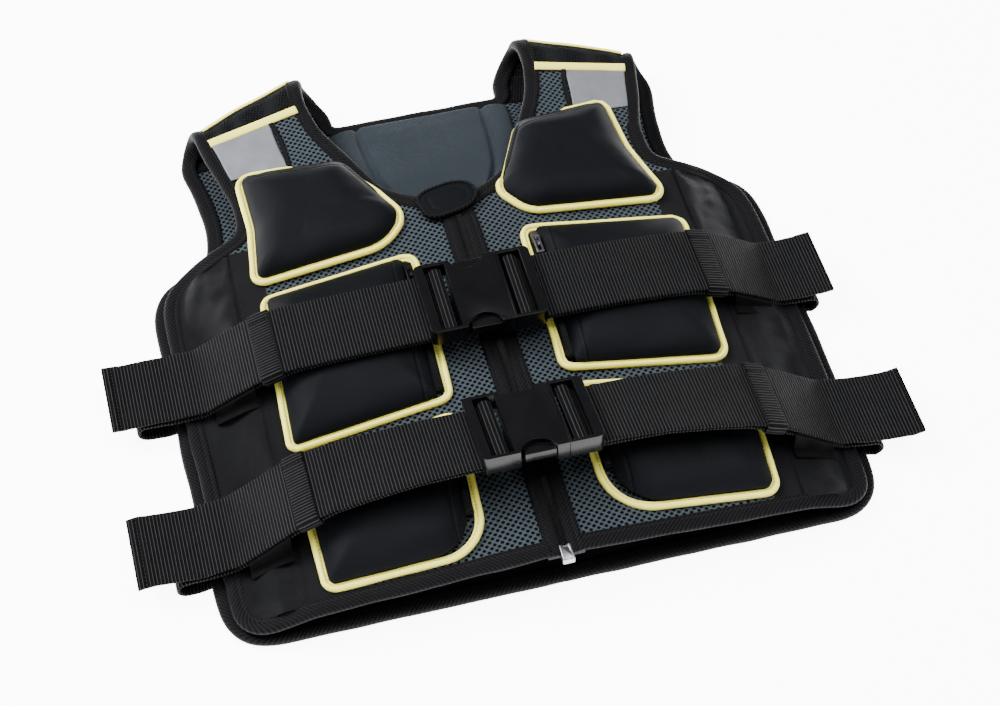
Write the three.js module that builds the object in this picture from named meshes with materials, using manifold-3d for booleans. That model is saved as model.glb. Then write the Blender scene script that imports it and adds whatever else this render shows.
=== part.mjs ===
// A weighted vest, zipped and buckled, lying on its back.
// Millimetres. +X is the wearer's left-to-right as seen from the front, +Y runs from hem to neck, +Z is up.
// The origin is the middle of the flat underside of the back.
import * as THREE from 'three';
import { mergeVertices } from 'three/addons/utils/BufferGeometryUtils.js';
import Module from 'manifold-3d';

const wasm = await Module();
wasm.setup();

// Body
const HALF_WIDTH = 191;           // zip to the front's cut edge at the chest, without its binding
const BODY_LENGTH = 420;          // hem to the fold of the shoulders
const REST_Y = 0.49 * BODY_LENGTH; // hem to the origin
const SEAM_X = 150;               // zip to the seam between front and side wing
const PANEL_THICK = 3;            // fronts and side wings
const YOKE_THICK = 4.5;           // folded shoulders
const BACK_THICK = 16;            // padded middle of the back
const BACK_EDGE_THICK = 4.5;      // rim of the back
const BACK_OVERHANG = 6;          // back's cut edge past the front's
const NECK_PAD_THICK = 4;

// Trim
const BINDING_WIDTH = 8;
const BINDING_WALL = 0.8;
const BINDING_SQUARE = 0.8;       // share of a binding's width that keeps its full thickness
const ZIP_THICK = 3;
const ZIP_BOX = { length: 11, height: 5 };
const TAB = { length: 38, width: 25, thick: 4, turn: -21 };
const TAB_PLACE = { x: -0.027, y: 0.655 }; // shares of the seam's distance and of the length
const TAPE_THICK = 1;
const TAPE_WIDTH = 6;
const PATCH_THICK = 0.7;

// Pockets
const POCKET_DEPTH = 13;
const POCKET_CROWN = 1.5;
const PIPING_WIDTH = 5.5;
const PIPING_HEIGHT = 3;
const PIPING_SLOPE = 0.2;         // share of the piping's width that each flank takes
const COIL_WIDTH = 5.4;
const COIL_HEIGHT = 5;
const SLIDER = { length: 9, height: 3 };
const PULL = { width: 5, length: 16, height: 1.6 };

// Straps and buckles
const STRAP_WIDTH = 50;
const STRAP_THICK = 2;
const BUCKLE = {
  length: 74, height: 12, corner: 4, side: 2.3,
  endBar: 6.1, barStart: 11.2, barEnd: 15.1, barThick: 3, plate: 19.8, wall: 1.5,
};
const RECESS = { centre: 34, half: 11.2, depth: 9 };
const ARM = { width: 7, start: 25.5, thick: 6 };
const KEEPER_LENGTH = 14;
const KEEPER_WALL = 1;
const GUIDE_LENGTH = 26;
const GUIDE_WALL = 1;
const GUIDE_FLANGE = 7;

// Clearances
const GAP = 0.3;                  // between pieces that touch
const SEAT_GAP = 0.6;             // under pieces that lie on a curved face
const LOOSE_GAP = 0.5;            // round webbing that slides through an elastic or a loop
const WRAP_GAP = 0.4;             // round the bar that webbing is wound over
const STRAP_GAP = 0.2;            // under webbing that lies in a buckle
const EDGE_GAP = 0.7;             // between the bindings of front and back
const CUT_PAST = 1;               // how far a cutting block runs past what it cuts

const BUCKLE_WIDTH = STRAP_WIDTH + 2 * (BUCKLE.side + STRAP_GAP);

// Heights of the front's face above the floor
const RIDGE_HEIGHT = 38;          // along the zip
const SEAM_HEIGHT = 25;           // along the side seam
const EDGE_HEIGHT = BACK_EDGE_THICK + 3 * BINDING_WALL + EDGE_GAP + PANEL_THICK; // along the side

// Rise of the front over its edges, from hem to shoulders, as shares of the length and of the full rise
const RISE = [
  { y: 0.00, rise: 0.74 },
  { y: 0.15, rise: 0.90 },
  { y: 0.35, rise: 1.00 },
  { y: 0.68, rise: 1.06 },
  { y: 0.92, rise: 1.30 },
];

// Places across the vest are shares: 0 at the zip, 1 at the side seam, 2 at the side's cut edge.
// Places along it are shares of the length.

// Front: cut edges at the zip and neck (in) and at the side seam and armhole (out)
const FRONT_ROWS = [
  { inX: 0.083, inY: 0.019, outX: 1.000, outY: 0.019 },
  { inX: 0.083, inY: 0.080, outX: 1.000, outY: 0.080 },
  { inX: 0.083, inY: 0.150, outX: 1.000, outY: 0.150 },
  { inX: 0.083, inY: 0.250, outX: 1.000, outY: 0.250 },
  { inX: 0.083, inY: 0.350, outX: 1.000, outY: 0.350 },
  { inX: 0.083, inY: 0.450, outX: 1.000, outY: 0.450 },
  { inX: 0.083, inY: 0.550, outX: 1.000, outY: 0.550 },
  { inX: 0.083, inY: 0.610, outX: 1.000, outY: 0.625 },
  { inX: 0.083, inY: 0.640, outX: 1.000, outY: 0.660 },
  { inX: 0.143, inY: 0.660, outX: 0.932, outY: 0.678 },
  { inX: 0.236, inY: 0.680, outX: 0.894, outY: 0.698 },
  { inX: 0.325, inY: 0.709, outX: 0.882, outY: 0.726 },
  { inX: 0.382, inY: 0.748, outX: 0.885, outY: 0.760 },
  { inX: 0.441, inY: 0.793, outX: 0.910, outY: 0.797 },
  { inX: 0.520, inY: 0.857, outX: 0.942, outY: 0.845 },
  { inX: 0.560, inY: 0.919, outX: 0.973, outY: 0.895 },
];
const NECK_START_ROW = 8;         // first row of the neckline

// Side wing: place along the seam, and its cut edge
const SIDE_ROWS = [
  { inY: 0.019, outX: 1.585, outY: 0.019 },
  { inY: 0.033, outX: 1.781, outY: 0.026 },
  { inY: 0.056, outX: 1.902, outY: 0.045 },
  { inY: 0.095, outX: 1.925, outY: 0.095 },
  { inY: 0.190, outX: 1.953, outY: 0.190 },
  { inY: 0.310, outX: 1.977, outY: 0.310 },
  { inY: 0.430, outX: 2.000, outY: 0.430 },
  { inY: 0.520, outX: 2.000, outY: 0.520 },
  { inY: 0.585, outX: 1.981, outY: 0.585 },
  { inY: 0.610, outX: 1.925, outY: 0.615 },
  { inY: 0.628, outX: 1.781, outY: 0.636 },
  { inY: 0.643, outX: 1.511, outY: 0.650 },
  { inY: 0.656, outX: 1.208, outY: 0.657 },
];

// Back: cut edge as shares of its own half width, how far the row drops at the shoulders, and its padding
const BACK_ROWS = [
  { y: 0.014, x: 0.873, drop: 0.000, pad: 0.00 },
  { y: 0.021, x: 0.934, drop: 0.000, pad: 0.10 },
  { y: 0.043, x: 0.975, drop: 0.000, pad: 0.45 },
  { y: 0.086, x: 0.990, drop: 0.000, pad: 0.90 },
  { y: 0.214, x: 0.995, drop: 0.000, pad: 1.00 },
  { y: 0.357, x: 1.000, drop: 0.000, pad: 1.00 },
  { y: 0.500, x: 1.000, drop: 0.000, pad: 1.00 },
  { y: 0.583, x: 1.000, drop: 0.000, pad: 1.00 },
  { y: 0.619, x: 0.985, drop: 0.000, pad: 1.00 },
  { y: 0.643, x: 0.949, drop: 0.000, pad: 1.00 },
  { y: 0.662, x: 0.883, drop: 0.000, pad: 0.98 },
  { y: 0.678, x: 0.827, drop: 0.000, pad: 0.94 },
  { y: 0.705, x: 0.787, drop: 0.000, pad: 0.88 },
  { y: 0.762, x: 0.769, drop: 0.002, pad: 0.72 },
  { y: 0.821, x: 0.777, drop: 0.007, pad: 0.50 },
  { y: 0.876, x: 0.792, drop: 0.018, pad: 0.25 },
  { y: 0.914, x: 0.805, drop: 0.029, pad: 0.00 },
];
const BACK_COLUMNS = [-1, -0.92, -0.8, -0.6, -0.42, -0.2, 0, 0.2, 0.42, 0.6, 0.8, 0.92, 1];

// Shoulder: inner and outer edges over the fold and at the back seam, as shares of the half width
const YOKE_EDGES = {
  fold: { inX: 0.424, inY: 1.000, outX: 0.785, outY: 0.938 },
  back: { inX: 0.345, inY: 0.914, outX: 0.830, outY: 0.885 },
};
const FOLD_STEP = 20;             // degrees between sections round the fold
const UPPER_TAPE_STEPS = [2, 3];  // the upper tape lies between these sections

// Neck pad: half width as a share of the body's half width
const NECK_PAD_ROWS = [
  { y: 0.700, x: 0.13 },
  { y: 0.715, x: 0.22 },
  { y: 0.760, x: 0.29 },
  { y: 0.830, x: 0.32 },
  { y: 0.905, x: 0.33 },
];

// Reflective patch: inner and outer edges
const PATCH_ROWS = [
  { y: 0.828, inX: 0.764, outX: 0.919 },
  { y: 0.848, inX: 0.713, outX: 0.930 },
  { y: 0.868, inX: 0.681, outX: 0.945 },
  { y: 0.880, inX: 0.675, outX: 0.949 },
];

// Pockets: corners of the piping's outer edge, with the corner radius as a share of the seam's distance
const POCKETS = {
  upper_left: [
    { x: 0.940, y: 0.577, r: 0.064 },
    { x: 0.898, y: 0.690, r: 0.382 },
    { x: 0.907, y: 0.808, r: 0.076 },
    { x: 0.414, y: 0.786, r: 0.102 },
    { x: 0.204, y: 0.643, r: 0.127 },
    { x: 0.331, y: 0.590, r: 0.255 },
  ],
  upper_right: [
    { x: 0.949, y: 0.592, r: 0.076 },
    { x: 0.847, y: 0.715, r: 0.382 },
    { x: 0.821, y: 0.822, r: 0.064 },
    { x: 0.357, y: 0.795, r: 0.115 },
    { x: 0.178, y: 0.655, r: 0.102 },
    { x: 0.293, y: 0.602, r: 0.153 },
  ],
  middle_left: [
    { x: 0.955, y: 0.264, r: 0.051 },
    { x: 0.919, y: 0.557, r: 0.064 },
    { x: 0.223, y: 0.572, r: 0.064 },
    { x: 0.246, y: 0.286, r: 0.064 },
  ],
  middle_right: [
    { x: 0.921, y: 0.269, r: 0.076 },
    { x: 0.970, y: 0.560, r: 0.076 },
    { x: 0.229, y: 0.583, r: 0.064 },
    { x: 0.204, y: 0.297, r: 0.064 },
  ],
  lower_left: [
    { x: 0.946, y: 0.026, r: 0.064 },
    { x: 0.955, y: 0.246, r: 0.064 },
    { x: 0.242, y: 0.268, r: 0.064 },
    { x: 0.280, y: 0.026, r: 0.191 },
  ],
  lower_right: [
    { x: 0.914, y: 0.026, r: 0.076 },
    { x: 0.955, y: 0.245, r: 0.102 },
    { x: 0.210, y: 0.275, r: 0.064 },
    { x: 0.204, y: 0.043, r: 0.216 },
  ],
};
// Puffed form of a pocket: how far each ring draws in to the middle, and its share of the depth
const POCKET_RINGS = [
  { draw: 0.50, rise: 0.00 },
  { draw: 0.00, rise: 0.00 },
  { draw: 0.00, rise: 0.50 },
  { draw: 0.09, rise: 0.86 },
  { draw: 0.24, rise: 1.00 },
];
// Pockets with a coil zip, and the two corners between which it runs
const COILED = ['middle_left', 'middle_right', 'lower_left', 'lower_right'];
const INNER_CORNERS = [2, 3];

// Buckles: place of the middle, tilt in degrees and how far the tilted one stands up, in pocket depths
const BUCKLES = {
  upper: { x: -0.040, y: 0.429, pitch: 0, lift: 0 },
  lower: { x: -0.007, y: 0.174, pitch: -11, lift: 0.26 },
};
// Straps: place along the vest of the loose end, and reach of the fold and of the loose end
const STRAPS = [
  { name: 'upper_left', side: -1, row: 'upper', endY: 0.448, turnX: 2.927, endX: 3.268 },
  { name: 'upper_right', side: 1, row: 'upper', endY: 0.433, turnX: 2.561, endX: 2.756 },
  { name: 'lower_left', side: -1, row: 'lower', endY: 0.164, turnX: 2.805, endX: 3.317 },
  { name: 'lower_right', side: 1, row: 'lower', endY: 0.148, turnX: 2.561, endX: 3.146 },
];
// Height of a strap over the front in pocket heights, and its share of its buckle's lift and tilt
const STRAP_LINE = [
  { x: 0.293, over: 1.02, lift: 1.00, tilt: 1.00 },
  { x: 0.509, over: 1.17, lift: 1.00, tilt: 0.90 },
  { x: 0.713, over: 1.17, lift: 1.00, tilt: 0.63 },
  { x: 0.840, over: 1.12, lift: 0.90, tilt: 0.43 },
  { x: 1.020, over: 0.63, lift: 0.30, tilt: 0.18 },
  { x: 1.439, over: 0.33, lift: 0.01, tilt: 0.06 },
  { x: 1.861, over: 0.12, lift: 0.00, tilt: 0.00 },
  { x: 2.327, over: 0.06, lift: 0.00, tilt: 0.00 },
];
const KEEPER_X = 0.936;
const GUIDE_X = 1.404;
const LAYER_STEP = STRAP_THICK + GAP;      // lower layer to upper layer of a strap
const GUIDE_STEP = LAYER_STEP + GUIDE_WALL + 2 * LOOSE_GAP;

const MATERIALS = {
  neoprene: { color: 0x1e2126, roughness: 0.9, metalness: 0 },
  mesh: { color: 0x5b666e, roughness: 0.95, metalness: 0 },
  wing: { color: 0x2c2d32, roughness: 0.8, metalness: 0 },
  spacer: { color: 0x202124, roughness: 0.95, metalness: 0 },
  lining: { color: 0x3e484f, roughness: 0.95, metalness: 0 },
  webbing: { color: 0x2a2a2a, roughness: 0.8, metalness: 0 },
  twill: { color: 0x1e1e1e, roughness: 0.85, metalness: 0 },
  satin: { color: 0xf3eb9b, roughness: 0.6, metalness: 0 },
  reflective: { color: 0xb9babf, roughness: 0.4, metalness: 0.1 },
  plastic: { color: 0x2b2c2e, roughness: 0.4, metalness: 0 },
  metal: { color: 0xb8b8b8, roughness: 0.3, metalness: 1 },
};

const vest = new THREE.Group();

// Small helpers for numbers and tables
const mix = (a, b, t) => a + (b - a) * t;
const clamp = (v, lo, hi) => Math.min(hi, Math.max(lo, v));
const ease = (t) => (1 - Math.cos(Math.PI * clamp(t, 0, 1))) / 2;

// Distance from the zip of a share across the vest
const acrossAt = (share) => SEAM_X * Math.min(share, 1) + (HALF_WIDTH - SEAM_X) * Math.max(share - 1, 0);

function readTable(table, key, value, at) {
  if (at <= table[0][key]) return table[0][value];
  for (let i = 1; i < table.length; i += 1) {
    const a = table[i - 1];
    const b = table[i];
    if (at <= b[key]) return mix(a[value], b[value], (at - a[key]) / (b[key] - a[key]));
  }
  return table[table.length - 1][value];
}

// Height of the front's face over the floor
function faceHeight(x, y) {
  const across = Math.abs(x);
  const rise = readTable(RISE, 'y', 'rise', y / BODY_LENGTH);
  let height = mix(RIDGE_HEIGHT, SEAM_HEIGHT, clamp(across / SEAM_X, 0, 1));
  if (across > SEAM_X) {
    height = mix(SEAM_HEIGHT, EDGE_HEIGHT, ease((across - SEAM_X) / (HALF_WIDTH - SEAM_X)));
  }
  return EDGE_HEIGHT + (height - EDGE_HEIGHT) * rise;
}

// Height of the inside face of the back over the floor
function backHeight(across, pad) {
  return BACK_EDGE_THICK + (BACK_THICK - BACK_EDGE_THICK) * pad * (1 - Math.abs(across) ** 3);
}

// A closed body from a list of corners and triangles, turned so that its faces point out
function closedBody(points, triangles) {
  let volume = 0;
  for (const [a, b, c] of triangles) {
    const [p, q, r] = [points[a], points[b], points[c]];
    volume += p[0] * (q[1] * r[2] - q[2] * r[1]);
    volume += p[1] * (q[2] * r[0] - q[0] * r[2]);
    volume += p[2] * (q[0] * r[1] - q[1] * r[0]);
  }
  const index = triangles.flatMap(([a, b, c]) => (volume > 0 ? [a, b, c] : [a, c, b]));
  const geometry = new THREE.BufferGeometry();
  geometry.setAttribute('position', new THREE.Float32BufferAttribute(points.flat(), 3));
  geometry.setIndex(index);
  return geometry;
}

// A sheet between two faces: face(u, v) gives the two points at row u, column v
function sheet(rows, columns, face) {
  const points = [];
  const triangles = [];
  const count = rows * columns;
  const sides = [[], []];
  for (let u = 0; u < rows; u += 1) {
    for (let v = 0; v < columns; v += 1) {
      const [upper, lower] = face(u, v);
      sides[0].push(upper);
      sides[1].push(lower);
    }
  }
  points.push(...sides[0], ...sides[1]);
  const quad = (a, b, c, d) => triangles.push([a, b, c], [a, c, d]);
  for (let u = 0; u < rows - 1; u += 1) {
    for (let v = 0; v < columns - 1; v += 1) {
      const a = u * columns + v;
      quad(a, a + 1, a + columns + 1, a + columns);
      quad(count + a, count + a + columns, count + a + columns + 1, count + a + 1);
    }
  }
  const rim = [];
  for (let v = 0; v < columns - 1; v += 1) rim.push(v);
  for (let u = 0; u < rows - 1; u += 1) rim.push(u * columns + columns - 1);
  for (let v = columns - 1; v > 0; v -= 1) rim.push((rows - 1) * columns + v);
  for (let u = rows - 1; u > 0; u -= 1) rim.push(u * columns);
  rim.forEach((a, i) => {
    const b = rim[(i + 1) % rim.length];
    quad(b, a, count + a, count + b);
  });
  return closedBody(points, triangles);
}

// A section swept through frames: each frame has a place, an outward and an upward direction
function sweep(frames, section, closed = false) {
  const points = [];
  const triangles = [];
  const size = section.length;
  for (const { at, out, up, thick = 1 } of frames) {
    for (const [u, w] of section) {
      points.push([0, 1, 2].map((k) => at[k] + out[k] * u + up[k] * w * thick));
    }
  }
  const last = closed ? frames.length : frames.length - 1;
  for (let i = 0; i < last; i += 1) {
    const a = i * size;
    const b = ((i + 1) % frames.length) * size;
    for (let k = 0; k < size; k += 1) {
      const n = (k + 1) % size;
      triangles.push([a + k, a + n, b + n], [a + k, b + n, b + k]);
    }
  }
  if (!closed) {
    const end = (frames.length - 1) * size;
    for (let k = 1; k < size - 1; k += 1) {
      triangles.push([0, k + 1, k], [end, end + k, end + k + 1]);
    }
  }
  return closedBody(points, triangles);
}

// Directions square to a flat path, turned to one side and lengthened at its corners
function squares(path, closed, turn) {
  const longest = 1.4;
  return path.map((p, i) => {
    const before = path[closed ? (i + path.length - 1) % path.length : Math.max(i - 1, 0)];
    const after = path[closed ? (i + 1) % path.length : Math.min(i + 1, path.length - 1)];
    const into = new THREE.Vector2(p[0] - before[0], p[1] - before[1]).normalize();
    const away = new THREE.Vector2(after[0] - p[0], after[1] - p[1]).normalize();
    const along = into.clone().add(away).normalize();
    const reach = clamp(1 / Math.max(along.dot(away), along.dot(into)), 1, longest);
    return [along.y * turn * reach, -along.x * turn * reach, 0];
  });
}

// The outline of a pocket, with its corners rounded
function roundedOutline(corners, side) {
  const arcSteps = 3;
  const longest = 42;
  const mostCut = 0.48;
  const outline = [];
  const count = corners.length;
  const place = corners.map(({ x, y }) => new THREE.Vector2(side * acrossAt(x), y * BODY_LENGTH));
  for (let i = 0; i < count; i += 1) {
    const corner = place[i];
    const back = place[(i + count - 1) % count].clone().sub(corner);
    const ahead = place[(i + 1) % count].clone().sub(corner);
    const half = Math.abs(Math.atan2(back.cross(ahead), back.dot(ahead))) / 2;
    const room = Math.min(back.length(), ahead.length()) * mostCut;
    const cut = Math.min((corners[i].r * SEAM_X) / Math.tan(half), room);
    const start = corner.clone().add(back.normalize().multiplyScalar(cut));
    const end = corner.clone().add(ahead.normalize().multiplyScalar(cut));
    const centre = start.clone().add(end).sub(corner).sub(corner);
    centre.multiplyScalar(1 / (2 * Math.cos(half) ** 2)).add(corner);
    const bend = (2 * half - Math.PI) * Math.sign(back.cross(ahead));
    const last = outline[outline.length - 1];
    if (last) outline.push(...between(last, [start.x, start.y], longest));
    for (let k = 0; k <= arcSteps; k += 1) {
      const p = start.clone().rotateAround(centre, (bend * k) / arcSteps);
      outline.push([p.x, p.y]);
    }
  }
  outline.push(...between(outline[outline.length - 1], outline[0], longest));
  return outline;
}

// Points between two others, so that no stretch is longer than a limit
function between(a, b, longest) {
  const parts = Math.ceil(Math.hypot(b[0] - a[0], b[1] - a[1]) / longest);
  const points = [];
  for (let k = 1; k < parts; k += 1) {
    points.push([mix(a[0], b[0], k / parts), mix(a[1], b[1], k / parts)]);
  }
  return points;
}

// An outline moved inwards
function inset(outline, distance) {
  const area = THREE.ShapeUtils.area(outline.map(([x, y]) => new THREE.Vector2(x, y)));
  const inward = squares(outline, true, area > 0 ? -1 : 1);
  return outline.map((p, i) => [p[0] + inward[i][0] * distance, p[1] + inward[i][1] * distance]);
}

// A body of stacked rings of equal count, closed by a point below and a point above
function stacked(rings, bottom, top) {
  const points = rings.flat();
  const size = rings[0].length;
  const triangles = [];
  const low = points.push(bottom) - 1;
  const high = points.push(top) - 1;
  for (let k = 0; k < size; k += 1) {
    const n = (k + 1) % size;
    triangles.push([low, n, k]);
    for (let r = 0; r < rings.length - 1; r += 1) {
      const a = r * size;
      const b = a + size;
      triangles.push([a + k, a + n, b + n], [a + k, b + n, b + k]);
    }
    const end = (rings.length - 1) * size;
    triangles.push([end + k, end + n, high]);
  }
  return closedBody(points, triangles);
}

// Joins and cuts
function toSolid(geometry) {
  const bare = geometry.clone();
  bare.deleteAttribute('normal');
  bare.deleteAttribute('uv');
  const merged = mergeVertices(bare);
  const vertProperties = Float32Array.from(merged.attributes.position.array);
  const triVerts = Uint32Array.from(merged.index.array);
  return new wasm.Manifold(new wasm.Mesh({ numProp: 3, vertProperties, triVerts }));
}

function fromSolid(solid) {
  const { vertProperties, triVerts } = solid.getMesh();
  const geometry = new THREE.BufferGeometry();
  geometry.setAttribute('position', new THREE.BufferAttribute(vertProperties, 3));
  geometry.setIndex(new THREE.BufferAttribute(triVerts, 1));
  return geometry;
}

function block(x0, x1, y0, y1, z0, z1) {
  const box = new THREE.BoxGeometry(x1 - x0, y1 - y0, z1 - z0);
  return toSolid(box.translate((x0 + x1) / 2, (y0 + y1) / 2, (z0 + z1) / 2));
}

function piece(name, geometry, finish, parent = vest) {
  const mesh = new THREE.Mesh(geometry, new THREE.MeshStandardMaterial(MATERIALS[finish]));
  mesh.name = name;
  parent.add(mesh);
  return mesh;
}

// Fronts: a face and an inner face, lofted across each row
function frontPoint(row, share, side) {
  const x = acrossAt(mix(row.inX, row.outX, share)) * side;
  const y = mix(row.inY, row.outY, share) * BODY_LENGTH;
  return [x, y, faceHeight(x, y)];
}

function addFront(label, side) {
  const columns = 5;
  const geometry = sheet(FRONT_ROWS.length, columns, (u, v) => {
    const [x, y, z] = frontPoint(FRONT_ROWS[u], v / (columns - 1), side);
    return [[x, y, z], [x, y, z - PANEL_THICK]];
  });
  piece(`front_panel_${label}`, geometry, 'mesh');
}

// Side wings: from the seam to the cut edge
function wingPoint(row, share, side) {
  const x = mix(SEAM_X + GAP, acrossAt(row.outX), share) * side;
  const y = mix(row.inY, row.outY, share) * BODY_LENGTH;
  return [x, y, faceHeight(x, y)];
}

function addWing(label, side) {
  const columns = 4;
  const geometry = sheet(SIDE_ROWS.length, columns, (u, v) => {
    const [x, y, z] = wingPoint(SIDE_ROWS[u], v / (columns - 1), side);
    return [[x, y, z], [x, y, z - PANEL_THICK]];
  });
  piece(`side_panel_${label}`, geometry, 'wing');
}

// Back: flat below, padded towards the middle above
const BACK_HALF = HALF_WIDTH + BACK_OVERHANG;

function backPoint(row, share) {
  const x = share * row.x * BACK_HALF;
  const neck = YOKE_EDGES.back.inX * HALF_WIDTH;
  const past = clamp((Math.abs(x) - neck) / (row.x * BACK_HALF - neck), 0, 1);
  const y = (row.y - row.drop * past) * BODY_LENGTH;
  return [x, y];
}

function addBack() {
  const geometry = sheet(BACK_ROWS.length, BACK_COLUMNS.length, (u, v) => {
    const [x, y] = backPoint(BACK_ROWS[u], BACK_COLUMNS[v]);
    return [[x, y, backHeight(BACK_COLUMNS[v], BACK_ROWS[u].pad)], [x, y, 0]];
  });
  piece('back_panel', geometry, 'neoprene');
}

// Neck pad: a quilted pad on the inside of the back
function addNeckPad() {
  const columns = 7;
  const geometry = sheet(NECK_PAD_ROWS.length, columns, (u, v) => {
    const row = NECK_PAD_ROWS[u];
    const share = mix(-1, 1, v / (columns - 1));
    const x = share * row.x * HALF_WIDTH;
    const pad = readTable(BACK_ROWS, 'y', 'pad', row.y);
    const floor = backHeight(x / BACK_HALF, pad) + SEAT_GAP;
    return [[x, row.y * BODY_LENGTH, floor + NECK_PAD_THICK], [x, row.y * BODY_LENGTH, floor]];
  });
  piece('neck_pad', geometry, 'lining');
}

// Shoulder: one section per step along the way from the front seam, round the fold, to the back seam
const BINDING_BACK_THICK = BACK_EDGE_THICK + 2 * BINDING_WALL;
const BINDING_FRONT_THICK = PANEL_THICK + 2 * BINDING_WALL;

function shoulderSection(share, side) {
  const { fold, back } = YOKE_EDGES;
  const at = (edge, axis, size) => mix(edge[`in${axis}`], edge[`out${axis}`], share) * size;
  const [frontX, seamY] = frontPoint(FRONT_ROWS[FRONT_ROWS.length - 1], share, side);
  const foldX = at(fold, 'X', HALF_WIDTH) * side;
  const backX = at(back, 'X', HALF_WIDTH) * side;
  const frontY = seamY + GAP;
  const backY = at(back, 'Y', BODY_LENGTH) + GAP;
  const high = faceHeight(frontX, frontY) - PANEL_THICK / 2;
  const low = BINDING_BACK_THICK / 2;
  const radius = (high - low) / 2;
  const centreY = at(fold, 'Y', BODY_LENGTH) - radius - YOKE_THICK / 2;
  const sections = [{ at: [frontX, frontY, high], up: [0, 0, 1] }];
  for (let angle = 0; angle <= 180; angle += FOLD_STEP) {
    const turn = THREE.MathUtils.degToRad(angle);
    const x = angle < 90 ? mix(frontX, foldX, angle / 90) : mix(foldX, backX, angle / 90 - 1);
    const y = centreY + radius * Math.sin(turn);
    const z = low + radius + radius * Math.cos(turn);
    sections.push({ at: [x, y, z], up: [0, Math.sin(turn), Math.cos(turn)] });
  }
  sections.push({ at: [backX, backY, low], up: [0, 0, -1] });
  return sections;
}

function shiftedUp(section, distance) {
  return section.at.map((value, k) => value + section.up[k] * distance);
}

function addShoulder(label, side) {
  const columns = 5;
  const strips = [];
  for (let v = 0; v < columns; v += 1) strips.push(shoulderSection(v / (columns - 1), side));
  const geometry = sheet(strips[0].length, columns, (u, v) => {
    const section = strips[v][u];
    return [shiftedUp(section, YOKE_THICK / 2), shiftedUp(section, -YOKE_THICK / 2)];
  });
  piece(`shoulder_yoke_${label}`, geometry, 'spacer');
  const tape = sheet(2, columns, (u, v) => {
    const section = strips[v][UPPER_TAPE_STEPS[u] + 1];
    const seat = YOKE_THICK / 2 + GAP;
    return [shiftedUp(section, seat + TAPE_THICK), shiftedUp(section, seat)];
  });
  piece(`shoulder_tape_upper_${label}`, tape, 'satin');
}

// The lower shoulder tape lies on the front, just below the shoulder's seam
function addLowerTape(label, side) {
  const columns = 5;
  const row = FRONT_ROWS[FRONT_ROWS.length - 1];
  const geometry = sheet(2, columns, (u, v) => {
    const share = v / (columns - 1);
    const y = frontPoint(row, share, side)[1] - GAP - TAPE_WIDTH * (1 - u);
    const inner = acrossAt(readTable(FRONT_ROWS, 'inY', 'inX', y / BODY_LENGTH)) + GAP;
    const outer = acrossAt(readTable(FRONT_ROWS, 'outY', 'outX', y / BODY_LENGTH)) - GAP;
    const x = mix(inner, outer, share) * side;
    const seat = faceHeight(x, y) + SEAT_GAP;
    return [[x, y, seat + TAPE_THICK], [x, y, seat]];
  });
  piece(`shoulder_tape_lower_${label}`, geometry, 'satin');
}

function addPatch(label, side) {
  const columns = 4;
  const geometry = sheet(PATCH_ROWS.length, columns, (u, v) => {
    const row = PATCH_ROWS[u];
    const x = acrossAt(mix(row.inX, row.outX, v / (columns - 1))) * side;
    const y = row.y * BODY_LENGTH;
    const seat = faceHeight(x, y) + SEAT_GAP;
    return [[x, y, seat + PATCH_THICK], [x, y, seat]];
  });
  piece(`reflective_patch_${label}`, geometry, 'reflective');
}

// Pockets: a puffed body inside a flat ring of piping, both on the front
function onFace([x, y], above) {
  return [x, y, faceHeight(x, y) + SEAT_GAP + above];
}

function pocketBody(outline, seat) {
  const centre = middle(outline);
  const drawn = (p, draw) => [mix(p[0], centre[0], draw), mix(p[1], centre[1], draw)];
  const rings = POCKET_RINGS.map(({ draw, rise }) => (
    outline.map((p) => onFace(drawn(p, draw), seat + rise * POCKET_DEPTH))
  ));
  return stacked(rings, onFace(centre, seat), onFace(centre, seat + POCKET_DEPTH + POCKET_CROWN));
}

function middle(outline) {
  const sum = outline.reduce(([a, b], [x, y]) => [a + x, b + y], [0, 0]);
  return [sum[0] / outline.length, sum[1] / outline.length];
}

function addPocket(label, corners) {
  const side = label.endsWith('left') ? -1 : 1;
  const outline = roundedOutline(corners, side);
  const seat = label.startsWith('upper') ? BINDING_WALL : 0;
  const inward = inset(outline, 1);
  const frames = outline.map((p, i) => {
    const out = [inward[i][0] - p[0], inward[i][1] - p[1], 0];
    return { at: onFace(p, seat), out, up: [0, 0, 1] };
  });
  const flank = PIPING_WIDTH * PIPING_SLOPE;
  const section = [
    [0, 0], [PIPING_WIDTH, 0], [PIPING_WIDTH - flank, PIPING_HEIGHT], [flank, PIPING_HEIGHT],
  ];
  piece(`piping_${label}`, sweep(frames, section, true), 'satin');
  const coiled = COILED.includes(label);
  const room = (COIL_WIDTH + GAP) / SEAM_X;
  const drawnIn = corners.map((c, i) => {
    const outer = corners[corners.length - 1 - i];
    const share = INNER_CORNERS.includes(i) ? room / (outer.x - c.x) : 0;
    return { x: mix(c.x, outer.x, share), y: mix(c.y, outer.y, share), r: c.r };
  });
  const bodyOutline = roundedOutline(coiled ? drawnIn : corners, side);
  piece(`pocket_${label}`, pocketBody(inset(bodyOutline, PIPING_WIDTH + GAP), seat), 'neoprene');
  if (coiled) addCoil(label, corners, side);
}

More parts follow.
